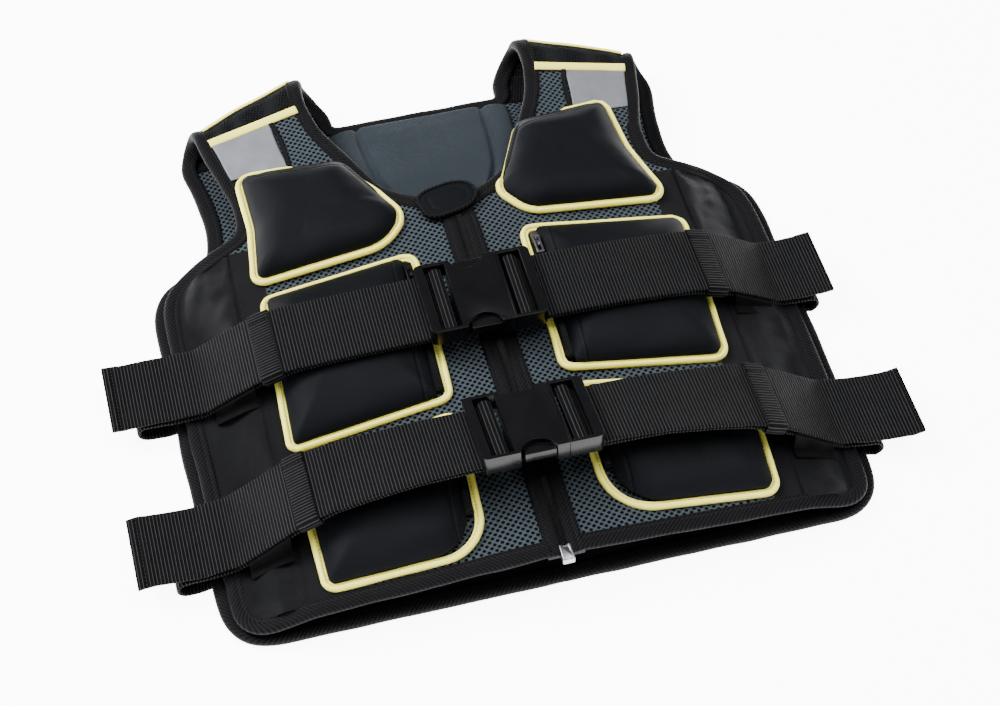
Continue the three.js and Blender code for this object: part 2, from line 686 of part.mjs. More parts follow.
// Coil zip of a pocket: a raised strip down its inner edge, with its slider and pull at the top
function addCoil(label, corners, side) {
  const [top, bottom] = INNER_CORNERS.map((i) => corners[i]);
  const run = (top.y - bottom.y) * BODY_LENGTH;
  const endShare = 1 - (bottom.r * SEAM_X) / run;
  const startShare = (top.r * SEAM_X + COIL_WIDTH / 2) / run;
  const inside = PIPING_WIDTH + GAP;
  const at = (share, across) => {
    const t = mix(startShare, endShare, share);
    const x = acrossAt(mix(top.x, bottom.x, t)) + inside + across;
    return [x * side, mix(top.y, bottom.y, t) * BODY_LENGTH];
  };
  const rows = 5;
  const strip = sheet(rows, 2, (u, v) => {
    const p = at(u / (rows - 1), v * COIL_WIDTH);
    return [onFace(p, COIL_HEIGHT), onFace(p, 0)];
  });
  const [x, y] = at(0, COIL_WIDTH / 2);
  const seat = faceHeight(x, y) + SEAT_GAP + COIL_HEIGHT;
  const sunk = 1;
  const half = COIL_WIDTH / 2 - GAP;
  const pullTop = seat + SLIDER.height + PULL.height;
  const slider = block(x - half, x + half, y - SLIDER.length, y, seat - sunk, seat + SLIDER.height);
  const pull = block(
    x - PULL.width / 2, x + PULL.width / 2, y - PULL.length, y - sunk, seat + SLIDER.height - sunk, pullTop,
  );
  piece(`pocket_zip_${label}`, fromSolid(toSolid(strip).add(slider).add(pull)), 'twill');
}

// Bound edges: twill tape folded over the cut edge, drawn as one strip along it
const BINDING_SECTION = [
  [GAP, -0.5],
  [GAP + BINDING_WIDTH * BINDING_SQUARE, -0.5],
  [GAP + BINDING_WIDTH, 0],
  [GAP + BINDING_WIDTH * BINDING_SQUARE, 0.5],
  [GAP, 0.5],
];

function flatFrames(path, turn, height, thick, up) {
  const outs = squares(path, false, turn);
  return path.map(([x, y], i) => ({ at: [x, y, height(x, y)], out: outs[i], up, thick }));
}

const frontMiddle = (x, y) => faceHeight(x, y) - PANEL_THICK / 2;
const backMiddle = () => BINDING_BACK_THICK / 2;

function shoulderFrames(share, side, outward) {
  const thick = YOKE_THICK + 2 * BINDING_WALL;
  return shoulderSection(share, side).map(({ at: [x, y, z], up }) => (
    { at: [x + outward * GAP, y, z], up, out: [outward, 0, 0], thick }
  ));
}

function addEdgeBinding(label, side) {
  const front = [];
  for (const share of [0, 0.5, 1]) front.push(frontPoint(FRONT_ROWS[0], share, side));
  for (const row of SIDE_ROWS) front.push(wingPoint(row, 1, side));
  const armhole = FRONT_ROWS.filter((row) => row.outX < 1);
  for (const row of armhole) front.push(frontPoint(row, 1, side));
  const back = [...BACK_ROWS].reverse().map((row) => backPoint(row, side));
  const hem = BACK_COLUMNS.filter((share) => share > 0 && share < 1).reverse();
  for (const share of hem) back.push(backPoint(BACK_ROWS[0], share * side));
  back.push([side * GAP / 2, BACK_ROWS[0].y * BODY_LENGTH]);
  const frames = [
    ...flatFrames(front.slice(0, -1), side, frontMiddle, BINDING_FRONT_THICK, [0, 0, 1]),
    ...shoulderFrames(1, side, side),
    ...flatFrames(back.slice(1), -side, backMiddle, BINDING_BACK_THICK, [0, 0, -1]),
  ];
  piece(`edge_binding_${label}`, sweep(frames, BINDING_SECTION), 'twill');
}

function addNeckBinding() {
  const halves = [-1, 1].map((side) => {
    const rows = FRONT_ROWS.slice(NECK_START_ROW, -1);
    const front = rows.map((row) => frontPoint(row, 0, side));
    return [
      ...flatFrames(front, -side, frontMiddle, BINDING_FRONT_THICK, [0, 0, 1]),
      ...shoulderFrames(0, side, -side),
    ];
  });
  const { back } = YOKE_EDGES;
  const nearCorner = 0.8;
  const neck = [-nearCorner, 0, nearCorner].map((share) => {
    const place = [share * back.inX * HALF_WIDTH, back.inY * BODY_LENGTH, BINDING_BACK_THICK / 2];
    return { at: place, out: [0, 1, 0], up: [0, 0, -1], thick: BINDING_BACK_THICK };
  });
  for (const half of halves) {
    const corner = half[half.length - 1];
    corner.out = [Math.sign(corner.out[0]), 1, 0];
  }
  const frames = [...halves[0], ...neck, ...halves[1].reverse()];
  piece('neck_binding', sweep(frames, BINDING_SECTION), 'twill');
}

function addZipBinding(label, side) {
  const rows = FRONT_ROWS.slice(0, NECK_START_ROW + 1);
  const path = rows.map((row) => frontPoint(row, 0, side));
  path[0] = [path[0][0], path[0][1] - BINDING_WIDTH, path[0][2]];
  const frames = flatFrames(path, -side, frontMiddle, BINDING_FRONT_THICK, [0, 0, 1]);
  piece(`zip_binding_${label}`, sweep(frames, BINDING_SECTION), 'twill');
}

// Front zip: the closed coil, its metal box at the hem and the soft tab over its top
const COIL_HALF = acrossAt(FRONT_ROWS[0].inX) - BINDING_WIDTH - 2 * GAP;

function addZip() {
  const rows = FRONT_ROWS.slice(0, NECK_START_ROW + 1);
  const coil = sheet(rows.length, 2, (u, v) => {
    const reach = rows[u].inY * BODY_LENGTH - BINDING_WIDTH * (u / rows.length);
    const y = Math.max(reach, ZIP_BOX.length / 2 + GAP);
    const z = frontMiddle(0, y);
    const x = (v * 2 - 1) * COIL_HALF;
    return [[x, y, z + ZIP_THICK / 2], [x, y, z - ZIP_THICK / 2]];
  });
  piece('front_zip', coil, 'twill');
  const box = new THREE.BoxGeometry(COIL_HALF * 2, ZIP_BOX.length, ZIP_BOX.height);
  piece('zip_box', box, 'metal').position.set(0, 0, frontMiddle(0, 0));
}

function addTab() {
  const radius = TAB.width / 2;
  const straight = TAB.length / 2 - radius;
  const shape = new THREE.Shape();
  shape.absarc(straight, 0, radius, -Math.PI / 2, Math.PI / 2);
  shape.absarc(-straight, 0, radius, Math.PI / 2, (3 * Math.PI) / 2);
  const geometry = new THREE.ExtrudeGeometry(shape, { depth: TAB.thick, bevelEnabled: false, curveSegments: 8 });
  const tab = piece('zip_tab', geometry, 'neoprene');
  const y = TAB_PLACE.y * BODY_LENGTH;
  tab.rotation.z = THREE.MathUtils.degToRad(TAB.turn);
  tab.position.set(TAB_PLACE.x * SEAM_X, y, faceHeight(0, y) + GAP);
}

// Straps: one length of webbing from the side, round its fold, through the buckle and back out
const STRAP_SEAT = STRAP_THICK / 2 + STRAP_GAP;
const BAR_LOW = 2 * STRAP_THICK + 2 * GAP;
const BAR_HIGH = BAR_LOW + BUCKLE.barThick;
const POCKET_HEIGHT = POCKET_DEPTH + POCKET_CROWN;

// Places along a strap where its height, lift and tilt are set; it is straight between them
function strapKnots(row) {
  const buckle = BUCKLES[row];
  const seat = SEAT_GAP + STRAP_THICK / 2;
  return STRAP_LINE.map(({ x, over, lift, tilt }) => ({
    x: acrossAt(x),
    z: faceHeight(acrossAt(x), BUCKLES.upper.y * BODY_LENGTH) + seat + over * POCKET_HEIGHT
      + lift * buckle.lift * POCKET_DEPTH,
    pitch: tilt * buckle.pitch,
  }));
}

const strapLine = (across, row) => readTable(strapKnots(row), 'x', 'z', across);
const strapPitch = (across, row) => readTable(strapKnots(row), 'x', 'pitch', across);
const buckleRest = (row) => strapLine(0, row) - STRAP_SEAT;

function strapCentre(across, { row, endY, endX }) {
  const straight = BUCKLE.length;
  const share = clamp((across - straight) / (acrossAt(endX) - straight), 0, 1);
  return mix(BUCKLES[row].y, endY, share) * BODY_LENGTH;
}

// The webbing's way round the bar, from the lower layer to the upper one
function wrapPath(end, rest) {
  const { endBar, barStart, barEnd } = BUCKLE;
  const past = -1.5 * STRAP_THICK;
  const around = STRAP_THICK / 2 + WRAP_GAP;
  const far = barEnd + around + GAP;
  const near = barStart - around - GAP;
  const tail = STRAP_SEAT + LAYER_STEP;
  const turned = [
    [past, STRAP_SEAT],
    [barEnd - STRAP_THICK / 2, STRAP_SEAT],
    [far - GAP, BAR_LOW - STRAP_THICK],
    [far, BAR_LOW],
    [far, BAR_HIGH],
    [barEnd + STRAP_GAP, BAR_HIGH + around],
    [barStart - STRAP_GAP, BAR_HIGH + around],
    [near, BAR_HIGH - STRAP_GAP],
    [near - GAP, BAR_LOW + 2 * GAP],
    [endBar + STRAP_THICK / 2 + GAP, tail + GAP],
    [endBar - STRAP_THICK / 2, tail],
    [past, tail],
  ];
  return turned.map(([x, z]) => [end - x, rest + z, z - STRAP_SEAT]);
}

function strapPath(strap) {
  const { side, row } = strap;
  const turnX = acrossAt(strap.turnX);
  const endX = acrossAt(strap.endX);
  const end = BUCKLE.length / 2 + side * BUCKLES[row].x * SEAM_X;
  const start = BACK_HALF + BINDING_WIDTH + 3 * GAP;
  const floor = STRAP_THICK / 2 + GAP;
  const over = strapLine(start, row);
  const radius = (over - floor) / 2;
  const centre = turnX - radius - STRAP_THICK / 2;
  const path = [[Math.min(start, centre), floor]];
  for (const angle of [-90, -45, 0, 45, 90]) {
    const turn = THREE.MathUtils.degToRad(angle);
    path.push([centre + radius * Math.cos(turn), floor + radius + radius * Math.sin(turn)]);
  }
  const clear = 2 * STRAP_THICK;
  const places = STRAP_LINE.map(({ x }) => acrossAt(x)).filter((x) => x > end + clear && x < centre - clear);
  const lower = places.reverse().map((x) => [x, strapLine(x, row)]);
  path.push(...lower, ...wrapPath(end, buckleRest(row)));
  const guideStart = acrossAt(GUIDE_X) - GUIDE_LENGTH;
  const upper = [...lower].reverse().map(([x, z], i, all) => {
    const before = all[Math.max(i - 1, 0)];
    const after = all[Math.min(i + 1, all.length - 1)];
    const slope = new THREE.Vector2(after[0] - before[0], after[1] - before[1]).normalize();
    const step = x > guideStart && x < HALF_WIDTH ? GUIDE_STEP : LAYER_STEP;
    return [x - slope.y * step, z + slope.x * step, slope.x * step];
  });
  path.push(...upper);
  const reach = upper[upper.length - 1];
  const level = Math.max(reach[1], over + LAYER_STEP);
  path.push([turnX, level], [endX, level + STRAP_THICK / 2]);
  return path;
}

function addStrap(strap) {
  const { name, side, row } = strap;
  const path = strapPath(strap);
  const squareTo = squares(path, false, 1);
  const frames = path.map(([across, z, above = 0], i) => {
    const pitch = THREE.MathUtils.degToRad(strapPitch(across, row));
    const [cos, sin] = [Math.cos(pitch), Math.sin(pitch)];
    const [nx, nz] = squareTo[i];
    return {
      at: [side * across, strapCentre(across, strap) - above * sin, z - above * (1 - cos)],
      out: [0, cos, sin],
      up: [side * nx, -nz * sin, nz * cos],
    };
  });
  const w = STRAP_WIDTH / 2;
  const t = STRAP_THICK / 2;
  piece(`strap_${name}`, sweep(frames, [[-w, -t], [w, -t], [w, t], [-w, t]]), 'webbing');
}

// Keepers: elastic rings round both layers of a strap
function addKeeper(strap) {
  const { name, side, row } = strap;
  const across = acrossAt(KEEPER_X);
  const ahead = across + KEEPER_LENGTH / 2;
  const behind = across - KEEPER_LENGTH / 2;
  const slope = Math.atan2(strapLine(ahead, row) - strapLine(behind, row), KEEPER_LENGTH);
  const half = KEEPER_LENGTH / 2;
  const w = STRAP_WIDTH / 2 + LOOSE_GAP;
  const low = -STRAP_THICK / 2 - LOOSE_GAP - GAP;
  const high = GUIDE_STEP + STRAP_THICK / 2 + LOOSE_GAP;
  const wall = KEEPER_WALL;
  const outer = block(-half, half, -w - wall, w + wall, low - wall, high + wall);
  const ring = outer.subtract(block(-half - CUT_PAST, half + CUT_PAST, -w, w, low, high));
  const keeper = piece(`keeper_${name}`, fromSolid(ring), 'webbing');
  keeper.rotation.set(THREE.MathUtils.degToRad(strapPitch(across, row)), -slope * side, 0);
  keeper.position.set(side * across, strapCentre(across, strap), strapLine(across, row));
}

// Guide loops: bands over the straps, their feet sewn to the side wings
function addGuide(strap) {
  const { name, side, row } = strap;
  const columns = 4;
  const foot = STRAP_WIDTH / 2 + LOOSE_GAP + STRAP_GAP;
  const geometry = sheet(6, columns, (u, v) => {
    const across = acrossAt(GUIDE_X) + mix(-0.5, 0.5, v / (columns - 1)) * GUIDE_LENGTH;
    const centre = strapCentre(across, strap);
    const pitch = THREE.MathUtils.degToRad(strapPitch(across, row));
    const flank = u < 3 ? -1 : 1;
    const step = u < 3 ? u : 5 - u;
    const reach = [foot + GUIDE_FLANGE, foot, foot][step];
    const outerReach = [foot + GUIDE_FLANGE, foot + GUIDE_WALL, foot + GUIDE_WALL][step];
    const y = centre + flank * reach;
    const bed = faceHeight(across, y) + SEAT_GAP + GAP;
    const over = strapLine(across, row) + STRAP_THICK / 2 + LOOSE_GAP + flank * foot * Math.sin(pitch);
    const low = step < 2 ? bed : Math.max(over, bed + GUIDE_WALL);
    return [
      [side * across, centre + flank * outerReach, low + GUIDE_WALL],
      [side * across, y, low],
    ];
  });
  piece(`guide_loop_${name}`, geometry, 'webbing');
}

// Buckles: a socket and a plug, each with a bar that the webbing is wound round
function roundedPlate(x0, x1, corner, cornerAt) {
  const w = BUCKLE_WIDTH / 2;
  const sharp = 0.01;
  const shape = new THREE.Shape();
  const [near, far] = cornerAt === 'start' ? [corner, sharp] : [sharp, corner];
  shape.moveTo(x0 + near, -w);
  shape.lineTo(x1 - far, -w);
  shape.absarc(x1 - far, -w + far, far, -Math.PI / 2, 0);
  shape.absarc(x1 - far, w - far, far, 0, Math.PI / 2);
  shape.absarc(x0 + near, w - near, near, Math.PI / 2, Math.PI);
  shape.absarc(x0 + near, -w + near, near, Math.PI, (3 * Math.PI) / 2);
  const options = { depth: BUCKLE.height, bevelEnabled: false, curveSegments: 3 };
  return toSolid(new THREE.ExtrudeGeometry(shape, options));
}

const SPLIT = BUCKLE.length - BUCKLE.plate - BUCKLE.wall;
const SLOT_HALF = BUCKLE_WIDTH / 2 - BUCKLE.side;

function withBar(solid, flip) {
  const along = (x) => (flip ? BUCKLE.length - x : x);
  const cut = (a, b, z0, z1) => {
    const [x0, x1] = [along(a), along(b)].sort((p, q) => p - q);
    return block(x0, x1, -SLOT_HALF, SLOT_HALF, z0, z1);
  };
  const under = STRAP_SEAT + LAYER_STEP + STRAP_THICK / 2 + GAP;
  const opened = solid
    .subtract(cut(BUCKLE.endBar, BUCKLE.plate, -CUT_PAST, BUCKLE.height + CUT_PAST))
    .subtract(cut(-CUT_PAST, BUCKLE.endBar + CUT_PAST, -CUT_PAST, under));
  const [x0, x1] = [along(BUCKLE.barStart), along(BUCKLE.barEnd)].sort((p, q) => p - q);
  const reach = SLOT_HALF + BUCKLE.side / 2;
  return opened.add(block(x0, x1, -reach, reach, BAR_LOW, BAR_HIGH));
}

function recess(side, clearance) {
  const radius = (RECESS.half ** 2 + RECESS.depth ** 2) / (2 * RECESS.depth);
  const disc = new THREE.CylinderGeometry(radius - clearance, radius - clearance, BUCKLE.height * 3, 20);
  const centre = side * (BUCKLE_WIDTH / 2 + radius - RECESS.depth);
  return toSolid(disc.rotateX(Math.PI / 2).translate(RECESS.centre, centre, 0));
}

function socketSolid() {
  const skin = (BUCKLE.height - ARM.thick) / 2 - GAP;
  const cavity = block(
    ARM.start - CUT_PAST, SPLIT + CUT_PAST, -SLOT_HALF, SLOT_HALF, skin, BUCKLE.height - skin,
  );
  const plate = roundedPlate(0, SPLIT - GAP, BUCKLE.corner, 'start');
  return withBar(plate, false).subtract(cavity).subtract(recess(1, 0)).subtract(recess(-1, 0));
}

function plugSolid() {
  const frame = roundedPlate(SPLIT, BUCKLE.length, BUCKLE.corner, 'end');
  let plug = withBar(frame, true);
  const low = (BUCKLE.height - ARM.thick) / 2;
  const high = low + ARM.thick;
  const outer = SLOT_HALF - GAP;
  for (const side of [-1, 1]) {
    const [a, b] = [side * (outer - ARM.width), side * outer].sort((p, q) => p - q);
    const [c, d] = [side * (outer - ARM.width), side * (BUCKLE_WIDTH / 2 - GAP)].sort((p, q) => p - q);
    const button = block(ARM.start, SPLIT, c, d, low, high).intersect(recess(side, 2 * GAP));
    plug = plug.add(block(ARM.start, SPLIT + CUT_PAST, a, b, low, high)).add(button);
  }
  return plug.add(block(ARM.start, SPLIT + CUT_PAST, -ARM.width / 2, ARM.width / 2, low, high));
}

function addBuckle(row) {
  const { x, y, pitch } = BUCKLES[row];
  const holder = new THREE.Group();
  holder.rotation.x = THREE.MathUtils.degToRad(pitch);
  holder.position.set(x * SEAM_X, y * BODY_LENGTH, strapLine(0, row));
  vest.add(holder);
  for (const [name, solid] of [['socket', socketSolid()], ['plug', plugSolid()]]) {
    const half = piece(`buckle_${name}_${row}`, fromSolid(solid), 'plastic', holder);
    half.position.set(-BUCKLE.length / 2, 0, -STRAP_SEAT);
  }
}

for (const [label, side] of [['left', -1], ['right', 1]]) {
  addFront(label, side);
  addWing(label, side);
  addShoulder(label, side);
  addLowerTape(label, side);
  addPatch(label, side);
  addEdgeBinding(label, side);
  addZipBinding(label, side);
}
addBack();
addNeckPad();
addNeckBinding();
addZip();
addTab();
for (const [label, corners] of Object.entries(POCKETS)) addPocket(label, corners);
for (const strap of STRAPS) {
  addStrap(strap);
  addKeeper(strap);
  addGuide(strap);
}
for (const row of Object.keys(BUCKLES)) addBuckle(row);

vest.position.y = -REST_Y;
vest.updateMatrixWorld(true);
export default vest;
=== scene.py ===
import math

import bpy
import numpy as np
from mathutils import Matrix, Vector, noise


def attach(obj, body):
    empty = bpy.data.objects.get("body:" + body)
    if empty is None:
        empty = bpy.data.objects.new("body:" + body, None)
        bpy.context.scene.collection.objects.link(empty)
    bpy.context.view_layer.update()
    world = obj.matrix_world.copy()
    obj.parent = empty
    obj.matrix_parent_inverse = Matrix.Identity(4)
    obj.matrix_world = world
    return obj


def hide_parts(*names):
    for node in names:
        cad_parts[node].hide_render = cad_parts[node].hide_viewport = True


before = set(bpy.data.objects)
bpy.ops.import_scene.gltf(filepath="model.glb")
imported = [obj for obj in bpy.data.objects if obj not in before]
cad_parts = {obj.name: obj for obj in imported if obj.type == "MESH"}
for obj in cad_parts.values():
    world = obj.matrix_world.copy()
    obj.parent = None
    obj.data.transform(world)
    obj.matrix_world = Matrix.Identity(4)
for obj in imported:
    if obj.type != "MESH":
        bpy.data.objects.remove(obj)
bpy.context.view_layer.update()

# Floor, daylight and camera. The vest lies on its back on a plain pale table under a large soft light,
# seen from its hem, a little to the left and from well above.
FLOOR_SIZE = 7.0
CAMERA_PLACE = Vector((-0.2114, -0.8681, 1.1069))
CAMERA_AIM = Vector((0.15415, 0.59605, -0.78801))
CAMERA_LENS = 79.2

bpy.ops.object.select_all(action="DESELECT")
bpy.ops.mesh.primitive_plane_add(size=FLOOR_SIZE)
floor = bpy.context.object
floor.name = "floor"

at_hand = {}


def start_finish(name):
    at_hand["material"] = bpy.data.materials.new(name)
    at_hand["material"].use_nodes = True
    return at_hand["material"]


def node(kind, inputs=None, **settings):
    tree = at_hand["material"].node_tree
    new = tree.nodes.new("ShaderNode" + kind)
    for key, value in settings.items():
        setattr(new, key, value)
    for key, value in (inputs or {}).items():
        feed(new.inputs[key], value)
    return new


def feed(socket, value):
    if isinstance(value, bpy.types.NodeSocket):
        at_hand["material"].node_tree.links.new(value, socket)
    else:
        socket.default_value = value


def blend(share, low, high):
    return node("Mix", {0: share, 6: low, 7: high}, data_type="RGBA").outputs[2]


def put(socket, value):
    feed(at_hand["material"].node_tree.nodes["Principled BSDF"].inputs[socket], value)


table_top = start_finish("table_top")
grain = node("TexNoise", {"Scale": 40.0, "Detail": 4.0}).outputs["Fac"]
put("Base Color", blend(grain, (0.93, 0.93, 0.932, 1), (0.95, 0.95, 0.95, 1)))
put("Roughness", 0.6)
put("Emission Color", (1.0, 1.0, 1.0, 1))
put("Emission Strength", 9.0)
floor.data.materials.append(table_top)

bpy.ops.object.camera_add(location=CAMERA_PLACE, rotation=CAMERA_AIM.to_track_quat("-Z", "Y").to_euler())
camera = bpy.context.object
camera.data.lens = CAMERA_LENS
camera.data.clip_end = 20
bpy.context.scene.camera = camera

# Each lamp: name, place, size, power, the point it shines on
LAMPS = [
    ("window", (-1.4, 0.9, 1.7), 1.1, 125.0, (0.0, 0.0, 0.0)),
    ("ceiling", (0.6, -0.1, 2.4), 1.6, 80.0, (0.0, 0.0, 0.0)),
    ("front_card", (-0.6, -1.9, 1.3), 1.4, 10.0, (0.0, 0.0, 0.0)),
]
for name, place, size, power, target in LAMPS:
    aim = (Vector(target) - Vector(place)).to_track_quat("-Z", "Y").to_euler()
    bpy.ops.object.light_add(type="AREA", location=place, rotation=aim)
    lamp = bpy.context.object
    lamp.name = name
    lamp.data.size = size
    lamp.data.energy = power
sky = bpy.data.worlds.new("white_studio")
sky.use_nodes = True
sky.node_tree.nodes["Background"].inputs["Color"].default_value = (0.95, 0.97, 1.0, 1)
sky.node_tree.nodes["Background"].inputs["Strength"].default_value = 0.30
bpy.context.scene.world = sky

# Fronts: two panels of grey-blue air mesh on thin foam, cut from one pattern and its mirror, faced with
# the sides' dark cloth along the side seam. Both edges are given row by row from the hem, as shares:
# across, 0 is the zip, 1 the side seam and 2 the side's cut edge; along, they are shares of the length.
HALF_WIDTH = 0.191
LENGTH = 0.420
ORIGIN_Y = 0.49 * LENGTH
SEAM_X = 0.150
PANEL_THICK = 0.003
RIDGE_HEIGHT = 0.038
SEAM_HEIGHT = 0.025
EDGE_HEIGHT = 0.0106


def named_rows(columns, rows):
    return [dict(zip(columns.split(), row)) for row in rows]


ZIP_EDGE = 0.058
FRONT_ROWS = named_rows("in_x in_y out_x out_y", [
    (ZIP_EDGE, 0.019, 1.000, 0.019),
    (ZIP_EDGE, 0.080, 1.000, 0.080),
    (ZIP_EDGE, 0.150, 1.000, 0.150),
    (ZIP_EDGE, 0.250, 1.000, 0.250),
    (ZIP_EDGE, 0.350, 1.000, 0.350),
    (ZIP_EDGE, 0.450, 1.000, 0.450),
    (ZIP_EDGE, 0.550, 1.000, 0.550),
    (ZIP_EDGE, 0.610, 1.000, 0.625),
    (ZIP_EDGE, 0.640, 1.000, 0.660),
    (0.143, 0.660, 0.932, 0.678),
    (0.236, 0.680, 0.894, 0.698),
    (0.325, 0.709, 0.882, 0.726),
    (0.382, 0.748, 0.885, 0.760),
    (0.441, 0.793, 0.910, 0.797),
    (0.520, 0.857, 0.942, 0.845),
    (0.560, 0.919, 0.973, 0.895),
])
NECK_START_ROW = 8
SIDES = (("left", -1), ("right", 1))
RISE_AT = [0.00, 0.15, 0.35, 0.68, 0.92]
RISE = [0.74, 0.90, 1.00, 1.06, 1.30]


def across(share):
    return SEAM_X * np.minimum(share, 1) + (HALF_WIDTH - SEAM_X) * np.maximum(share - 1, 0)


def side_of(label):
    return -1 if label.endswith("left") else 1


def ease(share):
    return (1 - np.cos(np.pi * np.clip(share, 0, 1))) / 2


def face_height(x, y):
    reach = np.abs(x)
    rise = np.interp((y + ORIGIN_Y) / LENGTH, RISE_AT, RISE)
    ridge = RIDGE_HEIGHT + (SEAM_HEIGHT - RIDGE_HEIGHT) * np.clip(reach / SEAM_X, 0, 1)
    fall = ease((reach - SEAM_X) / (HALF_WIDTH - SEAM_X))
    return EDGE_HEIGHT + (ridge + (EDGE_HEIGHT - SEAM_HEIGHT) * fall - EDGE_HEIGHT) * rise


def smooth_table(rows, key, at):
    values = np.array([row[key] for row in rows])
    padded = np.concatenate([[2 * values[0] - values[1]], values, [2 * values[-1] - values[-2]]])
    i = np.clip(np.floor(at).astype(int), 0, len(values) - 2)
    t = at - i
    a, b, c, d = padded[i], padded[i + 1], padded[i + 2], padded[i + 3]
    return 0.5 * (2 * b + (c - a) * t + (2 * a - 5 * b + 4 * c - d) * t ** 2 + (3 * b - a - 3 * c + d) * t ** 3)


def level_points(x, y):
    return np.column_stack([x, y, 0 * x])


def wrinkle(points, size, depth, seed):
    shift = Vector((seed * 3.1, seed * 1.7, seed * 0.9))
    return np.array([noise.noise(Vector(p) / size + shift) for p in points]) * depth


def points_of(piece):
    points = np.empty(len(piece.data.vertices) * 3)
    piece.data.vertices.foreach_get("co", points)
    return points.reshape(-1, 3)


def lay_sheet(name, columns, rows, place, flat):
    bpy.ops.object.select_all(action="DESELECT")
    bpy.ops.mesh.primitive_grid_add(x_subdivisions=columns, y_subdivisions=rows, size=2)
    piece = bpy.context.object
    piece.name = name
    mesh = piece.data
    mesh.name = name
    share = points_of(piece)[:, :2] / 2 + 0.5
    placed = np.column_stack(place(share[:, 0], share[:, 1]))
    mesh.vertices.foreach_set("co", placed.ravel())
    cloth = np.column_stack(flat(share[:, 0], share[:, 1]))
    loops = np.empty(len(mesh.loops), dtype=int)
    mesh.loops.foreach_get("vertex_index", loops)
    mesh.uv_layers.active.name = "cloth"
    mesh.uv_layers.active.data.foreach_set("uv", cloth[loops].ravel())
    return piece


def pick(piece):
    bpy.ops.object.select_all(action="DESELECT")
    piece.select_set(True)
    bpy.context.view_layer.objects.active = piece


def edit_all():
    bpy.ops.object.mode_set(mode="EDIT")
    bpy.ops.mesh.select_all(action="SELECT")


def shape(piece, kind, **settings):
    pick(piece)
    bpy.ops.object.modifier_add(type=kind)
    modifier = piece.modifiers[-1]
    for key, value in settings.items():
        setattr(modifier, key, value)
    bpy.ops.object.modifier_apply(modifier=modifier.name)


def tidy_skin(piece, merge=0.0):
    pick(piece)
    edit_all()
    if merge:
        bpy.ops.mesh.remove_doubles(threshold=merge)
        bpy.ops.mesh.normals_make_consistent(inside=False)
    bpy.ops.object.mode_set(mode="OBJECT")
    bpy.ops.object.shade_smooth()


def face_up(piece, upward=True):
    mesh = piece.data
    total = sum(polygon.normal.z * polygon.area for polygon in mesh.polygons)
    if (total > 0) != upward:
        mesh.flip_normals()


def thicken(piece, thickness, offset, flip=None):
    if flip is None:
        face_up(piece)
    elif flip:
        piece.data.flip_normals()
    shape(piece, "SOLIDIFY", thickness=thickness, offset=offset)
    tidy_skin(piece)


def dress(piece, material, slot, *nodes):
    piece.data.materials.clear()
    piece.data.materials.append(material)
    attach(piece, "root")
    if nodes:
        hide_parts(*nodes)


def calc(operation, first, second=0.0):
    return node("Math", {0: first, 1: second}, operation=operation).outputs[0]


def times(first, second):
    return calc("MULTIPLY", first, second)


def plus(first, second):
    return calc("ADD", first, second)


def away(value, line):
    return calc("ABSOLUTE", calc("SUBTRACT", value, line))


def dashes(value, pitch, share):
    return calc("LESS_THAN", calc("FRACT", times(value, 1 / pitch)), share)


def object_place():
    return node("TexCoord").outputs["Object"]


def cloth_map():
    sewn = node("UVMap", uv_map="cloth").outputs[0]
    return sewn, node("SeparateXYZ", {0: sewn}).outputs


def clouds(place, scale, detail):
    return node("TexNoise", {"Vector": place, "Scale": scale, "Detail": detail}).outputs["Fac"]


def cells(place, scale, randomness=1.0):
    return node("TexVoronoi", {"Vector": place, "Scale": scale, "Randomness": randomness}).outputs["Distance"]


def stripes(direction, place, scale, distortion, **settings):
    inputs = {"Vector": place, "Scale": scale, "Distortion": distortion, **settings}
    return node("TexWave", inputs, bands_direction=direction).outputs["Fac"]


def between(value, low, high):
    return node("MapRange", {"Value": value, 1: low, 2: high}).outputs[0]


def gloss(rough, specular):
    put("Roughness", rough)
    put("Specular IOR Level", specular)


def relief_of(height, strength, distance):
    put("Normal", node("Bump", {"Height": height, "Strength": strength, "Distance": distance}).outputs[0])


air_mesh = start_finish("air_mesh")
cloth = object_place()
diamond = node("Mapping", {"Vector": cloth, "Rotation": (0, 0, math.radians(41)), "Scale": (300, 345, 300)})
holes = node(
    "TexVoronoi", {"Vector": diamond.outputs[0], "Scale": 1.0, "Randomness": 0.06}, voronoi_dimensions="2D"
)
hole = node("MapRange", {"Value": holes.outputs["Distance"], 1: 0.24, 2: 0.40}, interpolation_type="SMOOTHSTEP")
threads = clouds(cloth, 2600.0, 2.0)
fading = clouds(cloth, 24.0, 3.0)
thread_colour = blend(threads, (0.016, 0.022, 0.028, 1), (0.070, 0.087, 0.101, 1))
worn_colour = blend(fading, thread_colour, (0.034, 0.043, 0.051, 1))
put("Base Color", blend(hole.outputs[0], (0.0004, 0.0005, 0.0006, 1), worn_colour))
gloss(0.8, 0.06)
height = plus(hole.outputs[0], times(threads, 0.25))
relief_of(height, 0.9, 0.0012)
side_cloth = start_finish("side_cloth")
cloth = object_place()
weft = stripes("X", cloth, 900.0, 1.5)
warp = stripes("Y", cloth, 900.0, 1.5)
weave = calc("MAXIMUM", weft, warp)
clouding = clouds(cloth, 18.0, 4.0)
put("Base Color", blend(clouding, (0.0032, 0.0032, 0.0040, 1), (0.0080, 0.0081, 0.0098, 1)))
gloss(0.55, 0.06)
fold_height = clouds(cloth, 48.0, 3.0)
relief_of(plus(weave, times(fold_height, 9.0)), 0.45, 0.0006)

FACING_X = 0.885 * SEAM_X
FACING_TOP = 0.66


def front_edge(rows, key, at):
    if key.endswith("x"):
        return across(smooth_table(rows, key, at))
    return smooth_table(rows, key, at) * LENGTH - ORIGIN_Y


